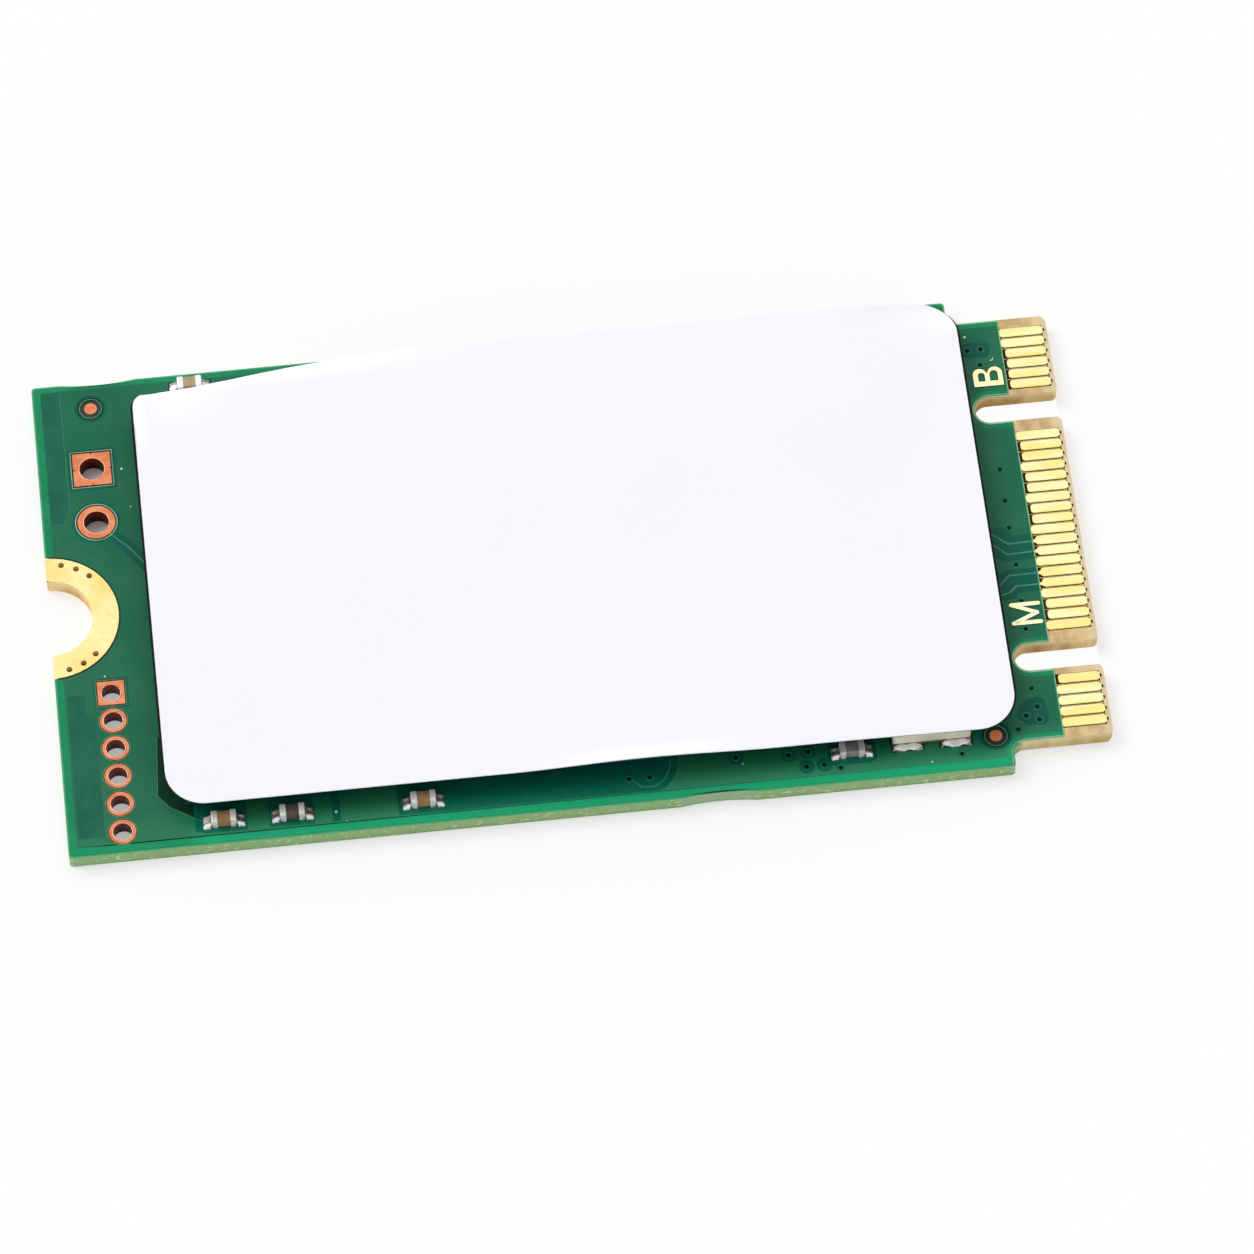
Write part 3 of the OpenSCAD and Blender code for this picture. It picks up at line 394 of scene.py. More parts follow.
FINISHES = {
    "circuit_board": laminate,
    "solder_mask_top": mask_base,
    "solder_mask_bottom": mask_pour,
    "edge_contacts_top": gold,
    "edge_contacts_bottom": gold,
    "mounting_pad_top": gold_ring,
    "mounting_pad_bottom": gold_ring,
    "large_hole_square": copper,
    "large_hole_round": copper,
    "header_hole_square": copper,
    "header_holes_round": copper,
    "fiducials": copper_dot,
    "capacitor_1_body": tan_ceramic,
    "capacitor_2_body": dark_ceramic,
    "capacitor_3_body": tan_ceramic,
    "capacitor_4_body": grey_ceramic,
    "capacitor_5_body": pale_ceramic,
    "crystal_base": crystal_ceramic,
    "crystal_can": can_metal,
    "power_inductor_body": ferrite,
    "supply_capacitor_bodies": tan_ceramic,
    "hidden_capacitor_bodies": tan_ceramic,
}
for name, node in nodes.items():
    finish = FINISHES.get(name)
    if finish is None:
        finish = next(m for ending, m in (
            ("_caps", end_cap), ("_solder", solder), ("_leads", solder), ("_balls", solder),
            ("_mould", epoxy), ("_substrate", substrate), ("label", film),
        ) if name.endswith(ending))
    node.data.materials.clear()
    node.data.materials.append(finish)


# Shapes, all drawn in millimetres and scaled to metres at the end

def ride(obj, finish):
    """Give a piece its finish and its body."""
    obj.data.materials.clear()
    obj.data.materials.append(finish)
    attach(obj, "root")
    return obj


def add_mesh(name, points, faces, smooth=False):
    """An object from points in millimetres."""
    mesh = bpy.data.meshes.new(name)
    mesh.from_pydata([Vector(p) * MM for p in points], [], faces)
    mesh.validate()
    if smooth:
        mesh.shade_smooth()
    obj = bpy.data.objects.new(name, mesh)
    bpy.context.scene.collection.objects.link(obj)
    return obj


def from_curve(name, curve, lift=0.0):
    """The mesh of a curve that was drawn in millimetres."""
    source = bpy.data.objects.new(name, curve)
    bpy.context.scene.collection.objects.link(source)
    bpy.context.view_layer.update()
    mesh = bpy.data.meshes.new_from_object(source.evaluated_get(bpy.context.evaluated_depsgraph_get()))
    bpy.data.objects.remove(source)
    mesh.transform(Matrix.Translation((0, 0, lift)))
    mesh.transform(Matrix.Scale(MM, 4))
    obj = bpy.data.objects.new(name, mesh)
    bpy.context.scene.collection.objects.link(obj)
    return obj


def sheet(name, loops, low, high):
    """A flat plate between two heights, from closed loops; a loop inside another is a hole."""
    curve = bpy.data.curves.new(name, "CURVE")
    curve.dimensions = "2D"
    curve.fill_mode = "BOTH"
    curve.extrude = (high - low) / 2
    for loop in loops:
        spline = curve.splines.new("POLY")
        spline.points.add(len(loop) - 1)
        for point, (x, y) in zip(spline.points, loop):
            point.co = (x, y, 0, 1)
        spline.use_cyclic_u = True
    return from_curve(name, curve, (low + high) / 2)


def wires(name, lines, radius, closed=True, flat=0.6):
    """Thin round beads along lines of points given as (x, y, z)."""
    curve = bpy.data.curves.new(name, "CURVE")
    curve.dimensions = "3D"
    curve.bevel_depth = radius
    curve.bevel_resolution = 1
    for line in lines:
        spline = curve.splines.new("POLY")
        spline.points.add(len(line) - 1)
        for point, (x, y, z) in zip(spline.points, line):
            point.co = (x, y, z / flat, 1)
        spline.use_cyclic_u = closed
    obj = from_curve(name, curve)
    obj.data.transform(Matrix.Scale(flat, 4, (0, 0, 1)))
    return obj


def arc(cx, cy, r, start, stop, steps):
    """Points along an arc between two angles in degrees."""
    return [(cx + r * math.cos(math.radians(start + (stop - start) * i / steps)),
             cy + r * math.sin(math.radians(start + (stop - start) * i / steps))) for i in range(steps + 1)]


def ring(cx, cy, r, steps=32):
    return arc(cx, cy, r, 0, 360, steps)[:-1]


def box(cx, cy, w, h):
    return [(cx - w / 2, cy - h / 2), (cx + w / 2, cy - h / 2),
            (cx + w / 2, cy + h / 2), (cx - w / 2, cy + h / 2)]


def rounded(x0, y0, x1, y1, r):
    """A box between two corners, with round corners of its own."""
    return (arc(x1 - r, y1 - r, r, 0, 90, 6) + arc(x0 + r, y1 - r, r, 90, 180, 6)
            + arc(x0 + r, y0 + r, r, 180, 270, 6) + arc(x1 - r, y0 + r, r, 270, 360, 6))


def outline(kind, spot, size):
    """A square or round loop of a size across."""
    return box(*spot, size, size) if kind == "box" else ring(*spot, size / 2, 44)


def at_height(loop, z):
    """A loop's points, raised to a height."""
    return [(x, y, z) for x, y in loop]


def band(line, width):
    """The outline of a strip of a width along a line of points."""
    sides = [[], []]
    for i, (x, y) in enumerate(line):
        before = Vector(line[max(0, i - 1)])
        after = Vector(line[min(len(line) - 1, i + 1)])
        along = (after - before).normalized()
        across = Vector((-along.y, along.x))
        turn = 1.0
        if 0 < i < len(line) - 1:
            first = (Vector(line[i]) - before).normalized()
            turn = 1 / max(0.6, abs(first.dot(along)))
        for side, sign in ((0, 1), (1, -1)):
            point = Vector((x, y)) + across * sign * width / 2 * turn
            sides[side].append((point.x, point.y))
    return sides[0] + sides[1][::-1]


def card_outline(left, near, far, right_stop, inset, pad):
    """The card's outline drawn in, up to a stop on the tongue, round the key notches and the pad."""
    body, half, r = NECK_X - inset, TONGUE_SIDE - inset, NECK_R + inset
    points = [(-CARD_END + left, -CARD_SIDE + near), (body, -CARD_SIDE + near)]
    points += arc(body + r, -half - r, r, 180, 90, 10)
    points.append((right_stop, -half))
    for y in KEYS:
        points.append((right_stop, y - KEY_R - inset))
        points += arc(KEY_X, y, KEY_R + inset, 270, 90, 24)
        points.append((right_stop, y + KEY_R + inset))
    points.append((right_stop, half))
    points += arc(body + r, half + r, r, 270, 180, 10)
    points += [(body, CARD_SIDE - far), (-CARD_END + left, CARD_SIDE - far)]
    turn = math.degrees(math.acos(left / pad))
    points += arc(-CARD_END, 0, pad, turn, -turn, 48)
    return points


def chip_pads(spot):
    """The mask's two openings round a small chip's lands."""
    return [box(spot[0] + side * 0.53, spot[1], w=0.7, h=0.66) for side in (-1, 1)]


# Step in height from one plate of a piece to the next
HAIR = 0.00002


def plates(name, loops, low, high, finish):
    """Separate plates as one piece, a hair apart in height so that none shares a face.
    A plate is one loop, or a list of loops where it has holes."""
    parts = []
    for index, loop in enumerate(loops):
        shape = loop if isinstance(loop[0], list) else [loop]
        parts.append(sheet(f"{name}_{index}", shape, low, high + HAIR * index))
    whole = parts[0]
    with bpy.context.temp_override(active_object=whole, selected_editable_objects=parts):
        bpy.ops.object.join()
    whole.name = name
    return ride(whole, finish)


# Heights of the thin plates that dress the card: their feet in the laminate, in the mask and in
# the mask over the pour, their tops on the mask, and those that stand over the copper
SUNK, POUR_FOOT, FOOT = 0.752, 0.775, 0.786
POUR, STEP, LIP, LAND_MOAT, MOAT, TRACE, TOP = 0.790, 0.7915, 0.792, 0.7925, 0.793, 0.796, 0.799
RIM, GLINT, SPECK, TICK_TOP, LETTER_B, LETTER_M = 0.801, 0.8012, 0.802, 0.8035, 0.806, 0.812
STUB_FOOT, GAP_FOOT, GAP_TOP, SHOULDER_FOOT = 0.70, 0.75, 0.7565, 0.7568
LOW_LIP = 0.788

# Mask over the copper pour, open round every land, fiducial and joint and left out under the label
FIDUCIAL_OPEN, LARGE_OPEN, HEADER_OPEN = 1.05, 1.7, 1.24
crystal_pads = [box(CRYSTAL[0] + sx * CRYSTAL_LAND_X, CRYSTAL[1] + sy * 1.12, w=1.36, h=0.86)
                for sx in (-1, 1) for sy in (-1, 1)]
openings = [ring(x, y, FIDUCIAL_OPEN / 2) for x, y in FIDUCIALS]
openings += [box(*LARGE[0], LARGE_OPEN, LARGE_OPEN), ring(*LARGE[1], LARGE_OPEN / 2, 40)]
openings.append(box(*HEADER[0], HEADER_OPEN, HEADER_OPEN))
openings += [ring(x, y, HEADER_OPEN / 2) for x, y in HEADER[1:]]
openings += [pad for spot in CHIPS for pad in chip_pads(spot)] + crystal_pads
under_label = [(-15.5, -8.6), (11.6, -8.6), (11.6, -6.72), (16.55, -6.72), (16.55, 8.6), (-15.5, 8.6)]
pour_edge = card_outline(left=0.36, near=0.42, far=0.3, right_stop=18.93, inset=0.3, pad=2.88)
pour = sheet("copper_pour_under_mask", [pour_edge, *openings, under_label], POUR_FOOT, POUR)
ride(pour, mask_pour)

# Copper-free moats: text windows left bare, channels beside the traces, rings round lone vias
TRACES = [
    [(17.1, -0.28), (17.41, -0.31), (17.98, -0.80), (18.93, -0.77)],
    [(17.1, -0.62), (17.44, -0.85), (17.88, -1.29), (18.93, -1.25)],
    [(17.1, -3.0), (17.45, -2.62), (17.82, -2.28), (18.93, -2.27)],
    [(17.1, -3.2), (17.60, -3.12), (17.77, -3.05), (18.03, -2.80), (18.93, -2.79)],
]
LOOP = [(1.58, -9.98), (1.72, -10.13), (1.96, -10.32), (2.46, -10.34), (2.89, -10.04), (3.11, -9.65),
        (3.2, -9.2)]
HOLE_TRACE = [(-18.36, 3.82), (-18.0, 3.42), (-17.57, 3.0), (-16.94, 2.11), (-16.3, 1.3)]
HOLE_CHANNEL = [(-18.22, 3.66), (-17.57, 3.0), (-16.94, 2.11), (-16.3, 1.25)]
VIAS = [
    (17.57, 8.55), (18.12, 8.57), (18.0, 7.81), (18.13, 2.74), (18.13, 1.24), (18.12, -0.05), (18.16, -1.8),
    (18.15, -3.51), (18.14, -4.81), (17.99, -7.56), (18.1, -8.42), (17.61, -8.78), (18.11, -9.01),
    (17.21, -9.37), (14.82, -10.22), (1.46, -9.9), (2.28, -9.91), (5.8, -9.39), (7.91, -9.53),
    (8.7, -9.46), (8.57, -10.13), (9.29, -10.11), (9.92, -10.32),
]
LONE_VIAS = VIAS[17:22]
moats = [
    [(17.05, 0.0), (17.5, 0.0), (17.86, -0.04), (18.2, -0.42), (18.93, -0.42), (18.93, -1.6), (17.76, -1.6),
     (17.45, -1.42), (17.05, -1.2)],
    [(17.05, -2.5), (17.4, -2.2), (17.68, -2.0), (18.93, -2.0), (18.93, -3.1), (18.12, -3.12),
     (17.9, -3.37), (17.05, -3.36)],
    [(-5.95, -10.54), (2.74, -10.54), (3.14, -10.18), (3.42, -9.73), (3.52, -8.7), (-5.95, -8.7)],
    [(-10.44, -10.52), (-10.11, -10.52), (-10.11, -8.7), (-10.44, -8.7)],
    [(-12.94, -10.5), (-11.17, -10.52), (-11.17, -8.7), (-12.94, -8.7)],
    [(-15.9, -10.35), (-15.5, -10.5), (-13.84, -10.5), (-13.84, -8.7), (-15.9, -8.7)],
    [(-7.8, -10.52), (-5.9, -10.54), (-5.9, -8.7), (-7.8, -8.7)],
    [(17.35, -8.35), (17.75, -8.0), (18.15, -7.95), (18.45, -8.15), (18.5, -9.1), (18.3, -9.25),
     (17.6, -9.2), (17.2, -8.8)],
    [(17.25, 8.85), (17.25, 8.3), (17.6, 8.2), (18.3, 8.15), (18.5, 8.4), (18.5, 8.9), (18.2, 9.0)],
    [(9.5, -10.12), (9.7, -10.2), (11.2, -10.2), (11.42, -10.0), (11.42, -8.7), (9.5, -8.7)],
    *[ring(*via, 0.31) for via in LONE_VIAS],
    band(HOLE_CHANNEL, 0.56),
]
plates("mask_moats", moats, FOOT, MOAT, mask_moat)
windows = [
    [(-20.64, 10.66), (-19.88, 10.66), (-19.84, 4.95), (-20.1, 4.35), (-20.64, 4.45)],
    [(-20.55, -3.7), (-19.87, -3.7), (-19.87, -4.6), (-19.5, -4.75), (-19.5, -10.2), (-20.55, -10.2)],
]
plates("mask_windows", windows, FOOT, MOAT, mask_window)
# The moat at the label's near-left corner, dark with painted shade under the label's corner
shaded_corner_moat = [(-17.1, -5.95), (-17.27, -8.6), (-16.85, -9.13), (-15.45, -10.0), (-14.9, -9.6),
               (-14.9, -9.0), (-15.4, -5.95)]
plates("shaded_corner_moat", [shaded_corner_moat], FOOT, MOAT, mask_painted_shade)
# The traces, pale with a painted highlight on their raised tops
traces = [band(line, 0.055) for line in TRACES] + [band(LOOP, 0.05), band(HOLE_TRACE, 0.045)]
plates("mask_trace_highlights", traces, POUR, TRACE, mask_trace_highlight)

# Fine pale lines where the mask steps over an edge of copper, painted highlights on the step
STEP_LINES = [
    [(3.02, -10.3), (3.16, -10.18), (3.44, -9.73), (3.53, -9.2)],
    [(-17.12, -5.95), (-17.29, -8.6), (-16.87, -9.15), (-15.47, -10.02)],
    [(-19.86, 10.6), (-19.82, 4.95), (-20.08, 4.34)],
]
step_lines = [at_height(line, MOAT) for line in STEP_LINES]
ride(wires("mask_relief_highlight_lines", step_lines, radius=0.012, closed=False), mask_soft_rim_highlight)

# Rounded lip of the mask round the large lands, and a dimmer one round the other openings, both pale with a
# painted highlight
LARGE_LANDS = [("box", LARGE[0], LARGE_OPEN), ("ring", LARGE[1], LARGE_OPEN)]
OPEN_LANDS = [("ring", spot, FIDUCIAL_OPEN) for spot in FIDUCIALS] + LARGE_LANDS
lips = [at_height(outline(*land), LIP) for land in LARGE_LANDS]
ride(wires("mask_lip_highlights", lips, radius=0.024), mask_rim_highlight)
lips = [at_height(outline("ring", spot, 0.91), LIP) for spot in FIDUCIALS]
lips += [at_height(outline("ring", spot, 1.18), LIP) for spot in HEADER[1:]]
lips.append(at_height(outline("box", HEADER[0], 1.2), LIP))
ride(wires("mask_opening_lip_highlights", lips, radius=0.022), mask_dim_rim_highlight)
# Dark rings round the fiducials where the mask steps, painted shade
steps = [[outline("ring", spot, 1.08), outline("ring", spot, 0.93)] for spot in FIDUCIALS]
plates("fiducial_step_shades", steps, SUNK, STEP, mask_painted_shade)

# The same lip, with the same painted highlight, where the mask ends on the tongue, round the key notches
# and at the near shoulder
LIP_X, LIP_R, TONGUE_LIP = 18.99, 0.69, 9.82
BEND_X, BEND_Y, BEND_R = 17.4, -10.425, 0.59
stops = [-TONGUE_LIP, KEYS[0] - LIP_R, KEYS[0] + LIP_R, KEYS[1] - LIP_R, KEYS[1] + LIP_R, TONGUE_LIP]
tongue = [at_height([(LIP_X, low), (LIP_X, high)], LOW_LIP)
          for low, high in zip(stops[::2], stops[1::2])]
for y in KEYS:
    notch = [(LIP_X, y - LIP_R), *arc(KEY_X, y, LIP_R, 270, 90, 28), (LIP_X, y + LIP_R)]
    tongue.append(at_height(notch, FOOT))
shoulder = [(BEND_X - BEND_R * math.sin(math.radians(t)), BEND_R * math.cos(math.radians(t)) + BEND_Y)
            for t in range(0, 91, 9)]
tongue.append(at_height([(LIP_X, -9.84), *shoulder, (16.81, -10.9)], FOOT))
ride(wires("mask_edge_highlight_lips", tongue, radius=0.02, closed=False), mask_rim_highlight)

land_moats = [[outline(kind, spot, size + 0.24), outline(kind, spot, size + 0.05)]
              for kind, spot, size in OPEN_LANDS]
land_moats.append([outline("box", HEADER[0], 1.4), outline("box", HEADER[0], 1.28)])
plates("land_moats", land_moats, FOOT, LAND_MOAT, mask_moat)

# Dark ticks at the middle of the square land's sides, a brighter disc on the right fiducial, painted light
# where the label shades it, pale rims round the bores, painted highlights, and the gold edge
TICK_OUT, TICK_HALF_L, TICK_HALF_W = 0.76, 0.07, 0.02
TICK = [(-TICK_HALF_L, -TICK_HALF_W), (TICK_HALF_L, -TICK_HALF_W),
        (TICK_HALF_L, TICK_HALF_W), (-TICK_HALF_L, TICK_HALF_W)]
ticks = []
for turn in range(4):
    a = math.radians(90 * turn)
    c, s = math.cos(a), math.sin(a)
    ticks.append([(LARGE[0][0] + TICK_OUT * c + dx * abs(c) + dy * abs(s),
                   LARGE[0][1] + TICK_OUT * s + dx * abs(s) + dy * abs(c)) for dx, dy in TICK])
glint = ring(*FIDUCIALS[1], 0.25, 28)
plates("fiducial_glint", [glint], POUR, GLINT, copper_glint)
plates("land_ticks", ticks, POUR, TICK_TOP, stub_black)
rims = [at_height(ring(*spot, 0.53, 44), RIM) for spot in LARGE]
rims += [at_height(ring(*spot, 0.40, 36), RIM) for spot in HEADER]
ride(wires("bore_rim_highlights", rims, radius=0.022, flat=0.4), copper_rim_highlight)
pad_edges = [box(-20.925, side * 2.3, w=0.14, h=1.05) for side in (-1, 1)]
plates("pad_edge_gold", pad_edges, SUNK, TOP, gold_ring)

# Vias: a tented ring of copper, lighter with a painted highlight, and the drill in its middle painted dark,
# painted shade of its hole
via_ring_highlights = [at_height(ring(x, y, 0.15, 20), POUR + 0.004) for x, y in VIAS]
ride(wires("via_ring_highlights", via_ring_highlights, radius=0.022), via_rim_highlight)
plates("via_drill_shades", [ring(x, y, 0.085, 14) for x, y in VIAS], POUR, TOP, drill_painted_shade)

# Specks of dust and flux, each a ragged round of a centre and a radius, and one fibre
SPECKS = [(17.55, 9.22, 0.05), (-10.28, -10.08, 0.055), (-17.59, 6.74, 0.05), (13.59, -10.46, 0.04),
          (-18.98, -2.92, 0.035), (-17.35, 4.9, 0.028), (6.05, -9.72, 0.035), (-9.9, -10.55, 0.02)]
specks = []
for x, y, r in SPECKS:
    specks.append([(px + rng.uniform(-0.2, 0.2) * r, py + rng.uniform(-0.2, 0.2) * r)
                   for px, py in ring(x, y, r, 9)])
specks.append(band([(18.42, 7.98), (18.52, 8.0), (18.58, 8.1)], 0.03))
plates("specks", specks, POUR, SPECK, speck_white)

# Gold key letters of the edge connector, drawn in strokes
b_outer = [(18.86, 6.76), (18.86, 7.32), *arc(18.55, 7.36, 0.31, 0, 172, 14)[1:],
           *arc(17.92, 7.33, 0.29, 14, 180, 12), (17.63, 6.76)]
b_low = [(18.66, 7.0), (18.66, 7.3), *arc(18.5, 7.34, 0.16, 12, 168, 8), (18.32, 7.3), (18.32, 7.0)]
b_high = [(18.12, 7.0), (18.12, 7.26), *arc(17.98, 7.28, 0.14, 12, 168, 8), (17.84, 7.26), (17.84, 7.0)]
letter_b = sheet("key_letter_b", [b_outer, b_low, b_high], POUR, LETTER_B)
ride(letter_b, gold_letter)
m_line = [(18.8, -3.67), (17.7, -3.67), (18.7, -4.1), (17.7, -4.53), (18.8, -4.53)]
m_strokes = [band(m_line[i:i + 2], width) for i, width in enumerate((0.18, 0.17, 0.17, 0.18))]
m_joins = [ring(*corner, 0.088, 14) for corner in m_line]
plates("key_letter_m", m_strokes + m_joins, POUR, LETTER_M, gold_letter)
# Dark lines round the letters' strokes, painted shadow at their edges
letter_shadows = [at_height(loop, LOW_LIP) for loop in (b_outer, b_low, b_high, *m_strokes)]
ride(wires("key_letter_shadows", letter_shadows, radius=0.045, flat=0.25), mask_painted_shade)

# Etched gaps round the contacts, dark brown with painted shade, the contacts' rounded shoulders, which
# stand back from the mask on the short ones and taper to each trace, and the cut ends of their plating
# stubs
LAST_CONTACT, CONTACT_1_Y, NUMBER_PITCH = 75, 9.25, 0.25
LONG = (1, 3, 21, 27, 33, 39, 45, 51, 57, 69, 71, 73, 75)
CONTACT_END, SETBACK, SHOULDER_R, HALF_SHOULDER, GAP_W = 20.79, 0.12, 0.13, 0.204, 0.47
STUB_X, STUB_Y, STUB_RX, STUB_RY = 20.84, 0.02, 0.042, 0.075
gaps, stubs, shoulders = [], [], []
for number in range(1, LAST_CONTACT + 1, 2):
    y = CONTACT_1_Y - NUMBER_PITCH * (number - 1)
    if min(abs(y - key) for key in KEYS) <= KEY_CLEAR:
        continue
    start = MASK_END if number in LONG else MASK_END + SETBACK
    shoulders.append(rounded(start, y - HALF_SHOULDER, CONTACT_END, y + HALF_SHOULDER, SHOULDER_R))
    gaps.append(box((MASK_END + CONTACT_END) / 2, y, CONTACT_END - MASK_END, GAP_W))
    stubs.append([(STUB_X + STUB_RX * math.cos(a), y + STUB_Y + STUB_RY * math.sin(a))
                  for a in [math.radians(30 * i) for i in range(12)]])
plates("contact_gap_shades", gaps, GAP_FOOT, GAP_TOP, gap_shade_brown)
TAPER_START, TAPER_END, TAPER_TIP, TAPER_FOOT = 18.98, 19.18, 0.03, 0.13
for line in TRACES:
    y = line[-1][1]
    shoulders.append([(TAPER_START, y - TAPER_TIP), (TAPER_END, y - TAPER_FOOT),
                      (TAPER_END, y + TAPER_FOOT), (TAPER_START, y + TAPER_TIP)])
plates("contact_shoulders", shoulders, SHOULDER_FOOT, MASK_TOP, gold)
plates("contact_stubs", stubs, STUB_FOOT, SUNK, stub_black)


# Solder of the small chips and the crystal: a hollow slope, drawn out at the land's corners
def meniscus(reach, half, back_h, toe_h, corner, steps=12, rows=14, wrap=0.1):
    """Grid of (out, across, height) over one land, worked out from u and v, its shares of them.
    The slope falls from back_h, a lobe rises by up to corner at each side, and all of it rounds
    down to the land at the rim."""
    grid = []
    for i in range(steps + 1):
        u = i / steps
        line = []
        for j in range(rows + 1):
            v = -1 + 2 * j / rows
            slope = (1 - u) ** 2.1 * back_h
            lobe = corner * (1.0 if v < 0 else 0.45)
            lobe *= math.exp(-((abs(v) - 0.7) / 0.28) ** 2) * math.exp(-((u - 0.6) / 0.34) ** 2)
            rim = min(1.0, (1 - abs(v)) / 0.16) * min(1.0, (1 - u) / 0.14)
            against_part = 0.35 if u < 0.02 else 0.0
            h = (slope + lobe + toe_h) * math.sqrt(max(0.0, min(1.0, rim + against_part)))
            pinch = 1 - wrap * (1 - abs(2 * u - 1))
            line.append((u * reach, v * half * pinch, h))
        grid.append(line)
    return grid


SOLDER_FOOT, SOLDER_FLOOR, SHINE_Z = 0.76, 0.79, 0.8


def solder_mesh(name, lands):
    """One piece from several grids, each closed down to its foot. A land is (grid, placer)."""
    points, faces = [], []
    for grid, placer in lands:
        start, rows, cols = len(points), len(grid), len(grid[0])
        for line in grid:
            for a, b, h in line:
                x, y = placer(a, b)
                points.append((x, y, SOLDER_FLOOR + h))
        for i in range(rows - 1):
            for j in range(cols - 1):
                a = start + i * cols + j
                faces.append((a, a + cols, a + cols + 1, a + 1))
        rim = [(0, j) for j in range(cols)] + [(i, cols - 1) for i in range(1, rows)]
        rim += [(rows - 1, j) for j in range(cols - 2, -1, -1)] + [(i, 0) for i in range(rows - 2, 0, -1)]
        rim = [start + i * cols + j for i, j in rim]
        skirt = []
        for a in rim:
            skirt.append(len(points))
            x, y, _ = points[a]
            points.append((x, y, SOLDER_FOOT))
        for k in range(len(rim)):
            n = (k + 1) % len(rim)
            faces.append((rim[k], rim[n], skirt[n], skirt[k]))
        faces.append(skirt)
    return add_mesh(name, points, faces, smooth=True)


def shine(obj, spots):
    """Give the near-white finish to the faces inside the ovals where the wet solder was drawn out, a
    painted highlight on those lobes.
    """
    obj.data.materials.append(solder_highlight)
    for face in obj.data.polygons:
        centre = face.center / MM
        lit = min(((centre.x - x) / rx) ** 2 + ((centre.y - y) / ry) ** 2 for x, y, rx, ry in spots)
        face.material_index = 1 if lit < 1 and centre.z > SHINE_Z else 0


def beside_chip(x, y, side, gap):
    """Places a grid on the land at one end of a chip, out from it along x."""
    return lambda a, b: (x + side * (gap + a), y + b)


def beside_crystal(sx, sy, gap):
    """Places a grid on one of the crystal's four lands, out from it along y."""
    return lambda a, b: (CRYSTAL[0] + sx * CRYSTAL_LAND_X + b, CRYSTAL[1] + sy * (gap + a))


# Film of solder under a chip's end cap, thin at its sides
UNDER_CHIP = [[(a * 0.24, b * 0.27, 0.03 * (1 if abs(b) < 1 else 0.2)) for b in (-1, -0.9, 0, 0.9, 1)]
              for a in (0, 0.1, 1)]
for number, (cx, cy) in enumerate(CHIPS, 1):
    lands = []
    for side in (-1, 1):
        corner = 0.1 + 0.03 * rng.random()
        grid = meniscus(reach=0.37, half=0.3, back_h=0.26, toe_h=0.05, corner=corner)
        lands.append((grid, beside_chip(cx, cy, side, 0.47)))
        lands.append((UNDER_CHIP, beside_chip(cx, cy, side, 0.26)))
    joints = solder_mesh(f"chip_{number}_solder", lands)
    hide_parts(f"capacitor_{number}_solder")
    ride(joints, solder)
    # The painted highlight sits on the near lobes in the front row, and on the middle at the far chip
    lobe_y = cy - 0.2 if cy < 0 else cy
    shine(joints, [(cx + side * 0.68, lobe_y, 0.16, 0.12) for side in (-1, 1)])

UNDER_CRYSTAL = [[(a * 0.42, b * 0.6, 0.03) for b in (-1, 0, 1)] for a in (0, 1)]
lands = []
for sx in (-1, 1):
    for sy in (-1, 1):
        grid = meniscus(reach=0.3, half=0.62, back_h=0.04, toe_h=0.05, corner=0.1, rows=28, wrap=0.02)
        uneven = [[(a * (1 + 0.16 * math.sin(9 * b + 2 * sx)), b, h * (1 + 0.3 * math.sin(11 * b + sy)))
                   for a, b, h in line] for line in grid]
        lands.append((uneven, beside_crystal(sx, sy, 1.22)))
        lands.append((UNDER_CRYSTAL, beside_crystal(sx, sy, 0.8)))
joints = solder_mesh("crystal_joints", lands)
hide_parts("crystal_solder")
ride(joints, solder)
# The painted highlight on the crystal's near joints
shine(joints, [(CRYSTAL[0] + sx * CRYSTAL_LAND_X, CRYSTAL[1] - 1.38, 0.56, 0.16) for sx in (-1, 1)])


# Label: the same folded, gaping and sinking sheet as the solid, with a finer grid and soft edges.
# It lies in two layers, the film and a dark sheet under it that stands proud at its left and right ends as
# painted shadow, and droops at its far corners.
LEFT, RIGHT, NEAR, FAR, CORNER_R = -16.9, 17.13, -9.8, 10.47, 1.58
LABEL_TOP, FILM_T, LABEL_T, SEAM, BEAD, SHADOW_PROUD = 2.1, 0.07, 0.1, 0.002, 0.025, 0.1
FOLD_Y, FOLD_L, FOLD_MAX, FOLD_FULL_X, FOLD_NONE_X = 9.31, 0.75, 75, -14.4, -1
SINK_H, SINK_X = 0.14, 9.0
GAPE_H, GAPE_X, GAPE_L, GAPE_W = 0.22, 2.2, 5.5, 0.61
WAVE_H = 0.006
PAST_PACKAGE_Y = 9.05
ROWS, FOLD_ROWS, COLUMNS, CORNER_STEPS = 26, 12, 110, 20


def ease(t):
    """A soft step from 0 to 1 while t runs from 0 to 1."""
    u = max(0.0, min(1.0, t))
    return u * u * (3 - 2 * u)


def fold_at(x):
    """The fold's angle in degrees, which opens again a little at the left corner."""
    open_corner = 1 - 0.2 * ease((-15.9 - x) / 1.0)
    grown = max(0.0, min(1.0, (FOLD_NONE_X - x) / (FOLD_NONE_X - FOLD_FULL_X)))
    return FOLD_MAX * open_corner * grown ** 1.9


def droop_at(x, y):
    """How far the label's far corners hang, clear of the packages under them."""
    past_package = ease((y - PAST_PACKAGE_Y) / 0.6)
    right = 0.34 * ease((x - 13.0) / (RIGHT - 13.0)) * ease((y - 8.7) / 1.7)
    left = (0.4 * ease((-12.3 - x) / 4.2) + 0.12 * ease((-15.6 - x) / 1.2)) * past_package
    left_end = 0.3 * ease((-16.4 - x) / 0.5) * ease((y - 7.6) / 1.4) * (1 - past_package)
    return right + left + left_end


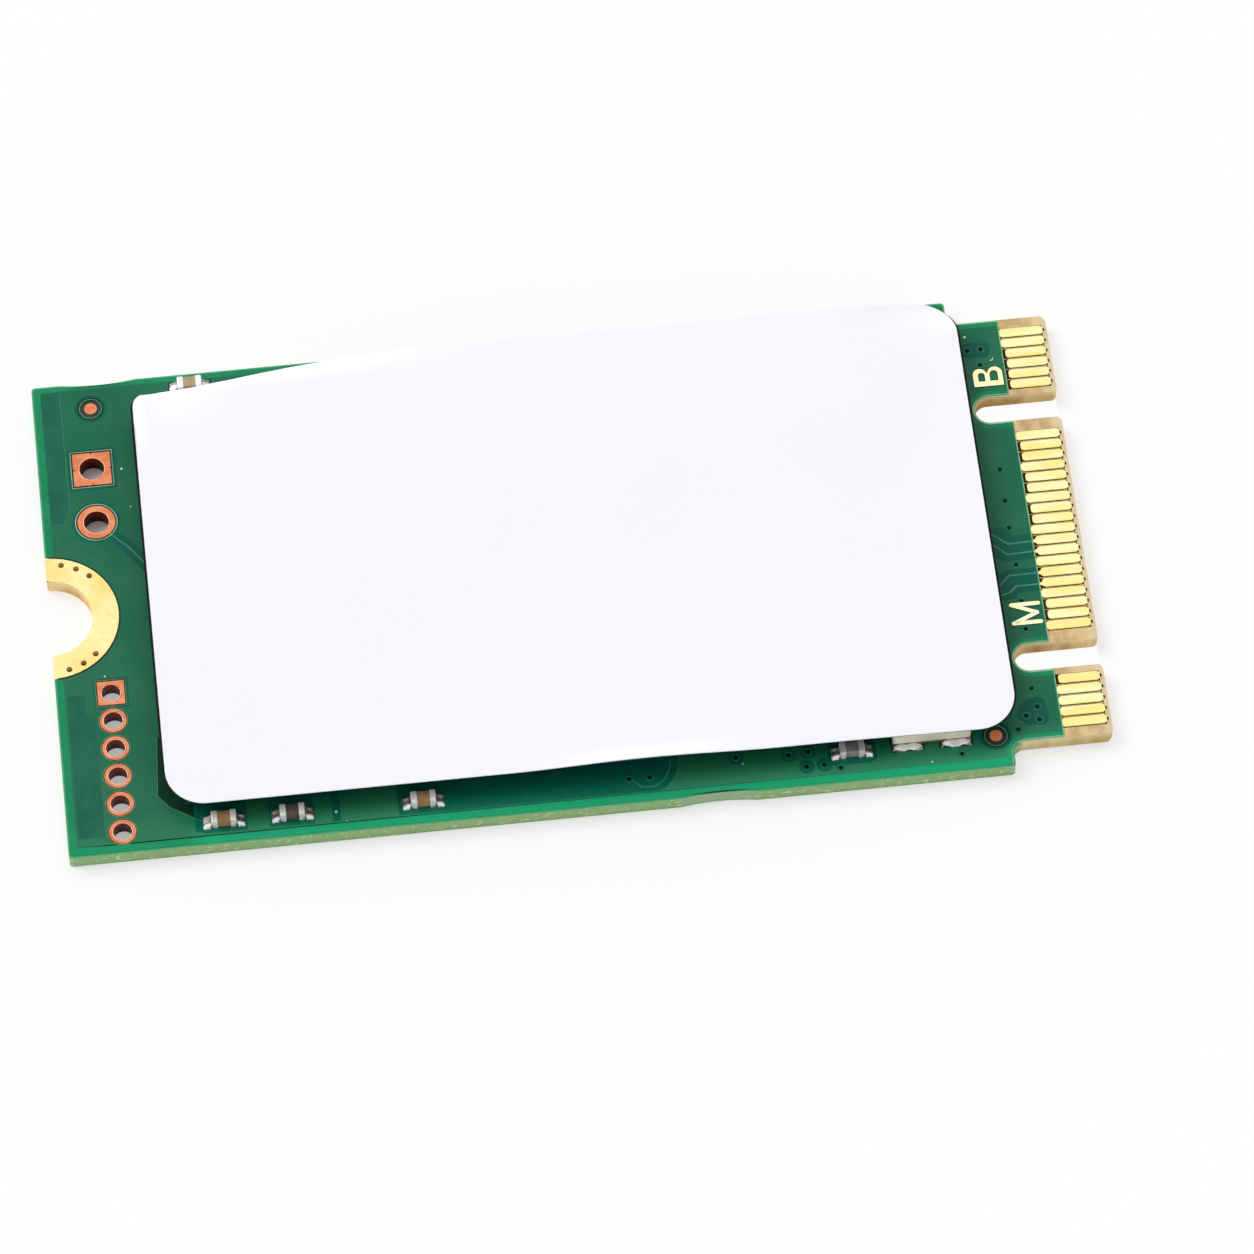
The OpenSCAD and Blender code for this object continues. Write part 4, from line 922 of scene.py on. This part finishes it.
def label_z(x, y):
    """The height of the label's top before its fold."""
    sink = SINK_H * ease((x - SINK_X) / (RIGHT - SINK_X))
    swell = math.cos(math.radians(90 * max(-1, min(1, (x - GAPE_X) / GAPE_L)))) ** 2
    gape = GAPE_H * swell * (1 - ease((y - NEAR) / GAPE_W))
    wave = WAVE_H * math.sin(x * 0.55 + 1.3) * math.sin(y * 0.42 + 0.4) * ease((y - NEAR) / 1.5)
    return LABEL_TOP - sink - droop_at(x, y) + gape + min(0.0, wave)


def label_point(x, y, depth):
    """The point of the bent label whose place on the flat one is (x, y), at a depth under its top."""
    past_fold, full = y - FOLD_Y, fold_at(x)
    if past_fold <= 0 or full < 0.5:
        return (x, y, label_z(x, y) - depth)
    curved = min(past_fold, FOLD_L)
    a = math.radians(full * curved / FOLD_L)
    r = FOLD_L / math.radians(full)
    straight = past_fold - curved
    return (
        x,
        FOLD_Y + r * math.sin(a) + straight * math.cos(a) - depth * math.sin(a),
        label_z(x, y) - r * (1 - math.cos(a)) - straight * math.sin(a) - depth * math.cos(a),
    )


def label_rows(low, high):
    """The rows' places across the label: close at the near edge, where it gapes, and in the fold."""
    mid = min(FOLD_Y, low + 0.94 * (high - low))
    rows = [low + (mid - low) * (j / ROWS) ** 2 for j in range(ROWS + 1)]
    return rows + [mid + (high - mid) * (j + 1) / FOLD_ROWS for j in range(FOLD_ROWS)]


def label_layer(name, top, bottom, proud):
    """A sheet of the label between two depths, standing proud of the film at its two ends."""
    left, right, r = LEFT - proud, RIGHT + proud, CORNER_R + proud / 2
    turns = [math.radians(4.5 * i) for i in range(CORNER_STEPS)]
    corner = [(r * (1 - math.cos(a)), r * (1 - math.sin(a))) for a in turns]
    stations = [(left + x, inset) for x, inset in corner]
    stations += [(left + r + (right - left - 2 * r) * i / COLUMNS, 0) for i in range(COLUMNS + 1)]
    stations += [(right - x, inset) for x, inset in reversed(corner)]
    points, faces = [], []
    for depth in (top, bottom):
        for x, inset in stations:
            for y in label_rows(NEAR + inset, FAR - inset):
                points.append(label_point(x, y, depth))
    cols = ROWS + FOLD_ROWS + 1
    count = len(stations)
    layer = count * cols
    for i in range(count - 1):
        for j in range(cols - 1):
            a = i * cols + j
            faces.append((a, a + cols, a + cols + 1, a + 1))
            faces.append((layer + a, layer + a + 1, layer + a + cols + 1, layer + a + cols))
    rim = [i * cols for i in range(count)] + [(count - 1) * cols + j for j in range(1, cols)]
    rim += [i * cols + cols - 1 for i in range(count - 2, -1, -1)] + list(range(cols - 2, 0, -1))
    for k, a in enumerate(rim):
        b = rim[(k + 1) % len(rim)]
        faces.append((b, a, layer + a, layer + b))
    return add_mesh(name, points, faces, smooth=True)


label = label_layer("label_sheet", top=0.0, bottom=FILM_T, proud=0.0)
# The dark sheet under the film, painted shadow where it stands proud at the label's ends
edge_shadow_layer = label_layer("label_painted_edge_shadow", top=FILM_T + SEAM, bottom=LABEL_T, proud=SHADOW_PROUD)
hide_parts("label")
ride(edge_shadow_layer, painted_edge_shadow)
bevel = label.modifiers.new("soft_edge", "BEVEL")
bevel.width = BEAD * MM
bevel.segments = 2
bevel.limit_method = "ANGLE"
bevel.angle_limit = math.radians(50)
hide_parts("label")
ride(label, film)

# Floor: white, and partly glowing where it is seen, so that it stays evenly bright.
# Through the large holes it keeps its real shade, through the header's holes it glows less, and
# in the key notches more.
FLOOR_GLOW, KEY_GLOW, SMALL_HOLE_GLOW = 0.58, 0.37, 0.35
HOLE_REACH, HOLE_NEAREST, HOLE_FARTHEST = 0.9, 2.6, 10.8
LANE_START, LANE_REACH = 17.4, 0.66
FLOOR_HALF, FLOOR_DROP = 3000, 0.003
floor_mat = bpy.data.materials.new("floor_white")
floor_mat.use_nodes = True
tree = floor_mat.node_tree
tree.nodes.clear()
out = tree.nodes.new("ShaderNodeOutputMaterial")
diffuse = tree.nodes.new("ShaderNodeBsdfDiffuse")
diffuse.inputs["Color"].default_value = (0.97, 0.97, 0.975, 1)
glow = tree.nodes.new("ShaderNodeEmission")
glow.inputs["Color"].default_value = (1, 1, 1, 1)
glow.inputs["Strength"].default_value = 1.0
ray = tree.nodes.new("ShaderNodeLightPath")
parts = tree.nodes.new("ShaderNodeSeparateXYZ")
put(tree, parts.inputs[0], tree.nodes.new("ShaderNodeTexCoord").outputs["Object"])
floor_x, floor_y = parts.outputs[0], parts.outputs[1]


def every(*values):
    """The product of several masks."""
    product = values[0]
    for value in values[1:]:
        product = calculate(tree, "MULTIPLY", product, value)
    return product


off_middle = calculate(tree, "ABSOLUTE", floor_y)
column = calculate(tree, "COMPARE", floor_x, HOLE_X * MM, HOLE_REACH * MM)
beyond = calculate(tree, "GREATER_THAN", off_middle, HOLE_NEAREST * MM)
inside = calculate(tree, "LESS_THAN", off_middle, HOLE_FARTHEST * MM)
holes = every(column, beyond, inside)
small_holes = every(holes, calculate(tree, "LESS_THAN", floor_y, -HOLE_NEAREST * MM))
on_tongue = every(calculate(tree, "GREATER_THAN", floor_x, LANE_START * MM),
                  calculate(tree, "LESS_THAN", floor_x, CARD_END * MM))
lanes = [calculate(tree, "COMPARE", floor_y, y * MM, LANE_REACH * MM) for y in KEYS]
key_share = every(on_tongue, calculate(tree, "MAXIMUM", *lanes), KEY_GLOW)
open_share = calculate(tree, "ADD", key_share, FLOOR_GLOW)
lift = every(calculate(tree, "SUBTRACT", 1.0, holes), open_share)
lift = calculate(tree, "ADD", lift, every(small_holes, SMALL_HOLE_GLOW))
seen_ray = calculate(tree, "MAXIMUM", ray.outputs["Is Camera Ray"], ray.outputs["Is Glossy Ray"])
seen_ray = calculate(tree, "MAXIMUM", seen_ray, ray.outputs["Is Transmission Ray"])
blend = tree.nodes.new("ShaderNodeMixShader")
put(tree, blend.inputs[0], every(lift, seen_ray))
put(tree, blend.inputs[1], diffuse.outputs[0])
put(tree, blend.inputs[2], glow.outputs[0])
put(tree, out.inputs["Surface"], blend.outputs[0])
corners = [(x, y, -FLOOR_DROP) for x, y in box(0, 0, 2 * FLOOR_HALF, 2 * FLOOR_HALF)]
floor = add_mesh("floor", corners, [(0, 1, 2, 3)])
floor.data.materials.append(floor_mat)

# World: a broad bright patch high behind the card, a brighter band low all round, and white or
# more where the camera, a reflection or a clear material sees it
PATCH_DIRECTION = (0.055, 0.492, 0.869)
world = bpy.data.worlds.new("studio")
bpy.context.scene.world = world
world.use_nodes = True
sky = world.node_tree
background = sky.nodes["Background"]
direction = sky.nodes.new("ShaderNodeTexCoord").outputs["Generated"]
facing = sky.nodes.new("ShaderNodeVectorMath")
facing.operation = "DOT_PRODUCT"
facing.inputs[1].default_value = PATCH_DIRECTION
put(sky, facing.inputs[0], direction)
height = sky.nodes.new("ShaderNodeSeparateXYZ")
put(sky, height.inputs[0], direction)
patch_tone = smooth_range(sky, facing.outputs["Value"], low=0.6, high=0.95, to_low=0.45, to_high=1.0)
low_tone = smooth_range(sky, height.outputs[2], low=0.05, high=0.45, to_low=2.1, to_high=0.0)
strength = calculate(sky, "MAXIMUM", patch_tone, low_tone)
eye = sky.nodes.new("ShaderNodeLightPath")
for kind in ("Is Camera Ray", "Is Glossy Ray", "Is Transmission Ray"):
    strength = calculate(sky, "MAXIMUM", eye.outputs[kind], strength)
put(sky, background.inputs["Strength"], strength)
background.inputs["Color"].default_value = (0.985, 0.992, 1.0, 1)

# A soft sun from the far left
SUN_DIRECTION, SUN_ENERGY, SUN_ANGLE = (-0.6, 0.35, 0.72), 1.35, 40
sun_data = bpy.data.lights.new("key", "SUN")
sun_data.energy = SUN_ENERGY
sun_data.angle = math.radians(SUN_ANGLE)
sun = bpy.data.objects.new("key", sun_data)
bpy.context.scene.collection.objects.link(sun)
sun.rotation_mode = "QUATERNION"
sun.rotation_quaternion = Vector(SUN_DIRECTION).to_track_quat("Z", "Y")
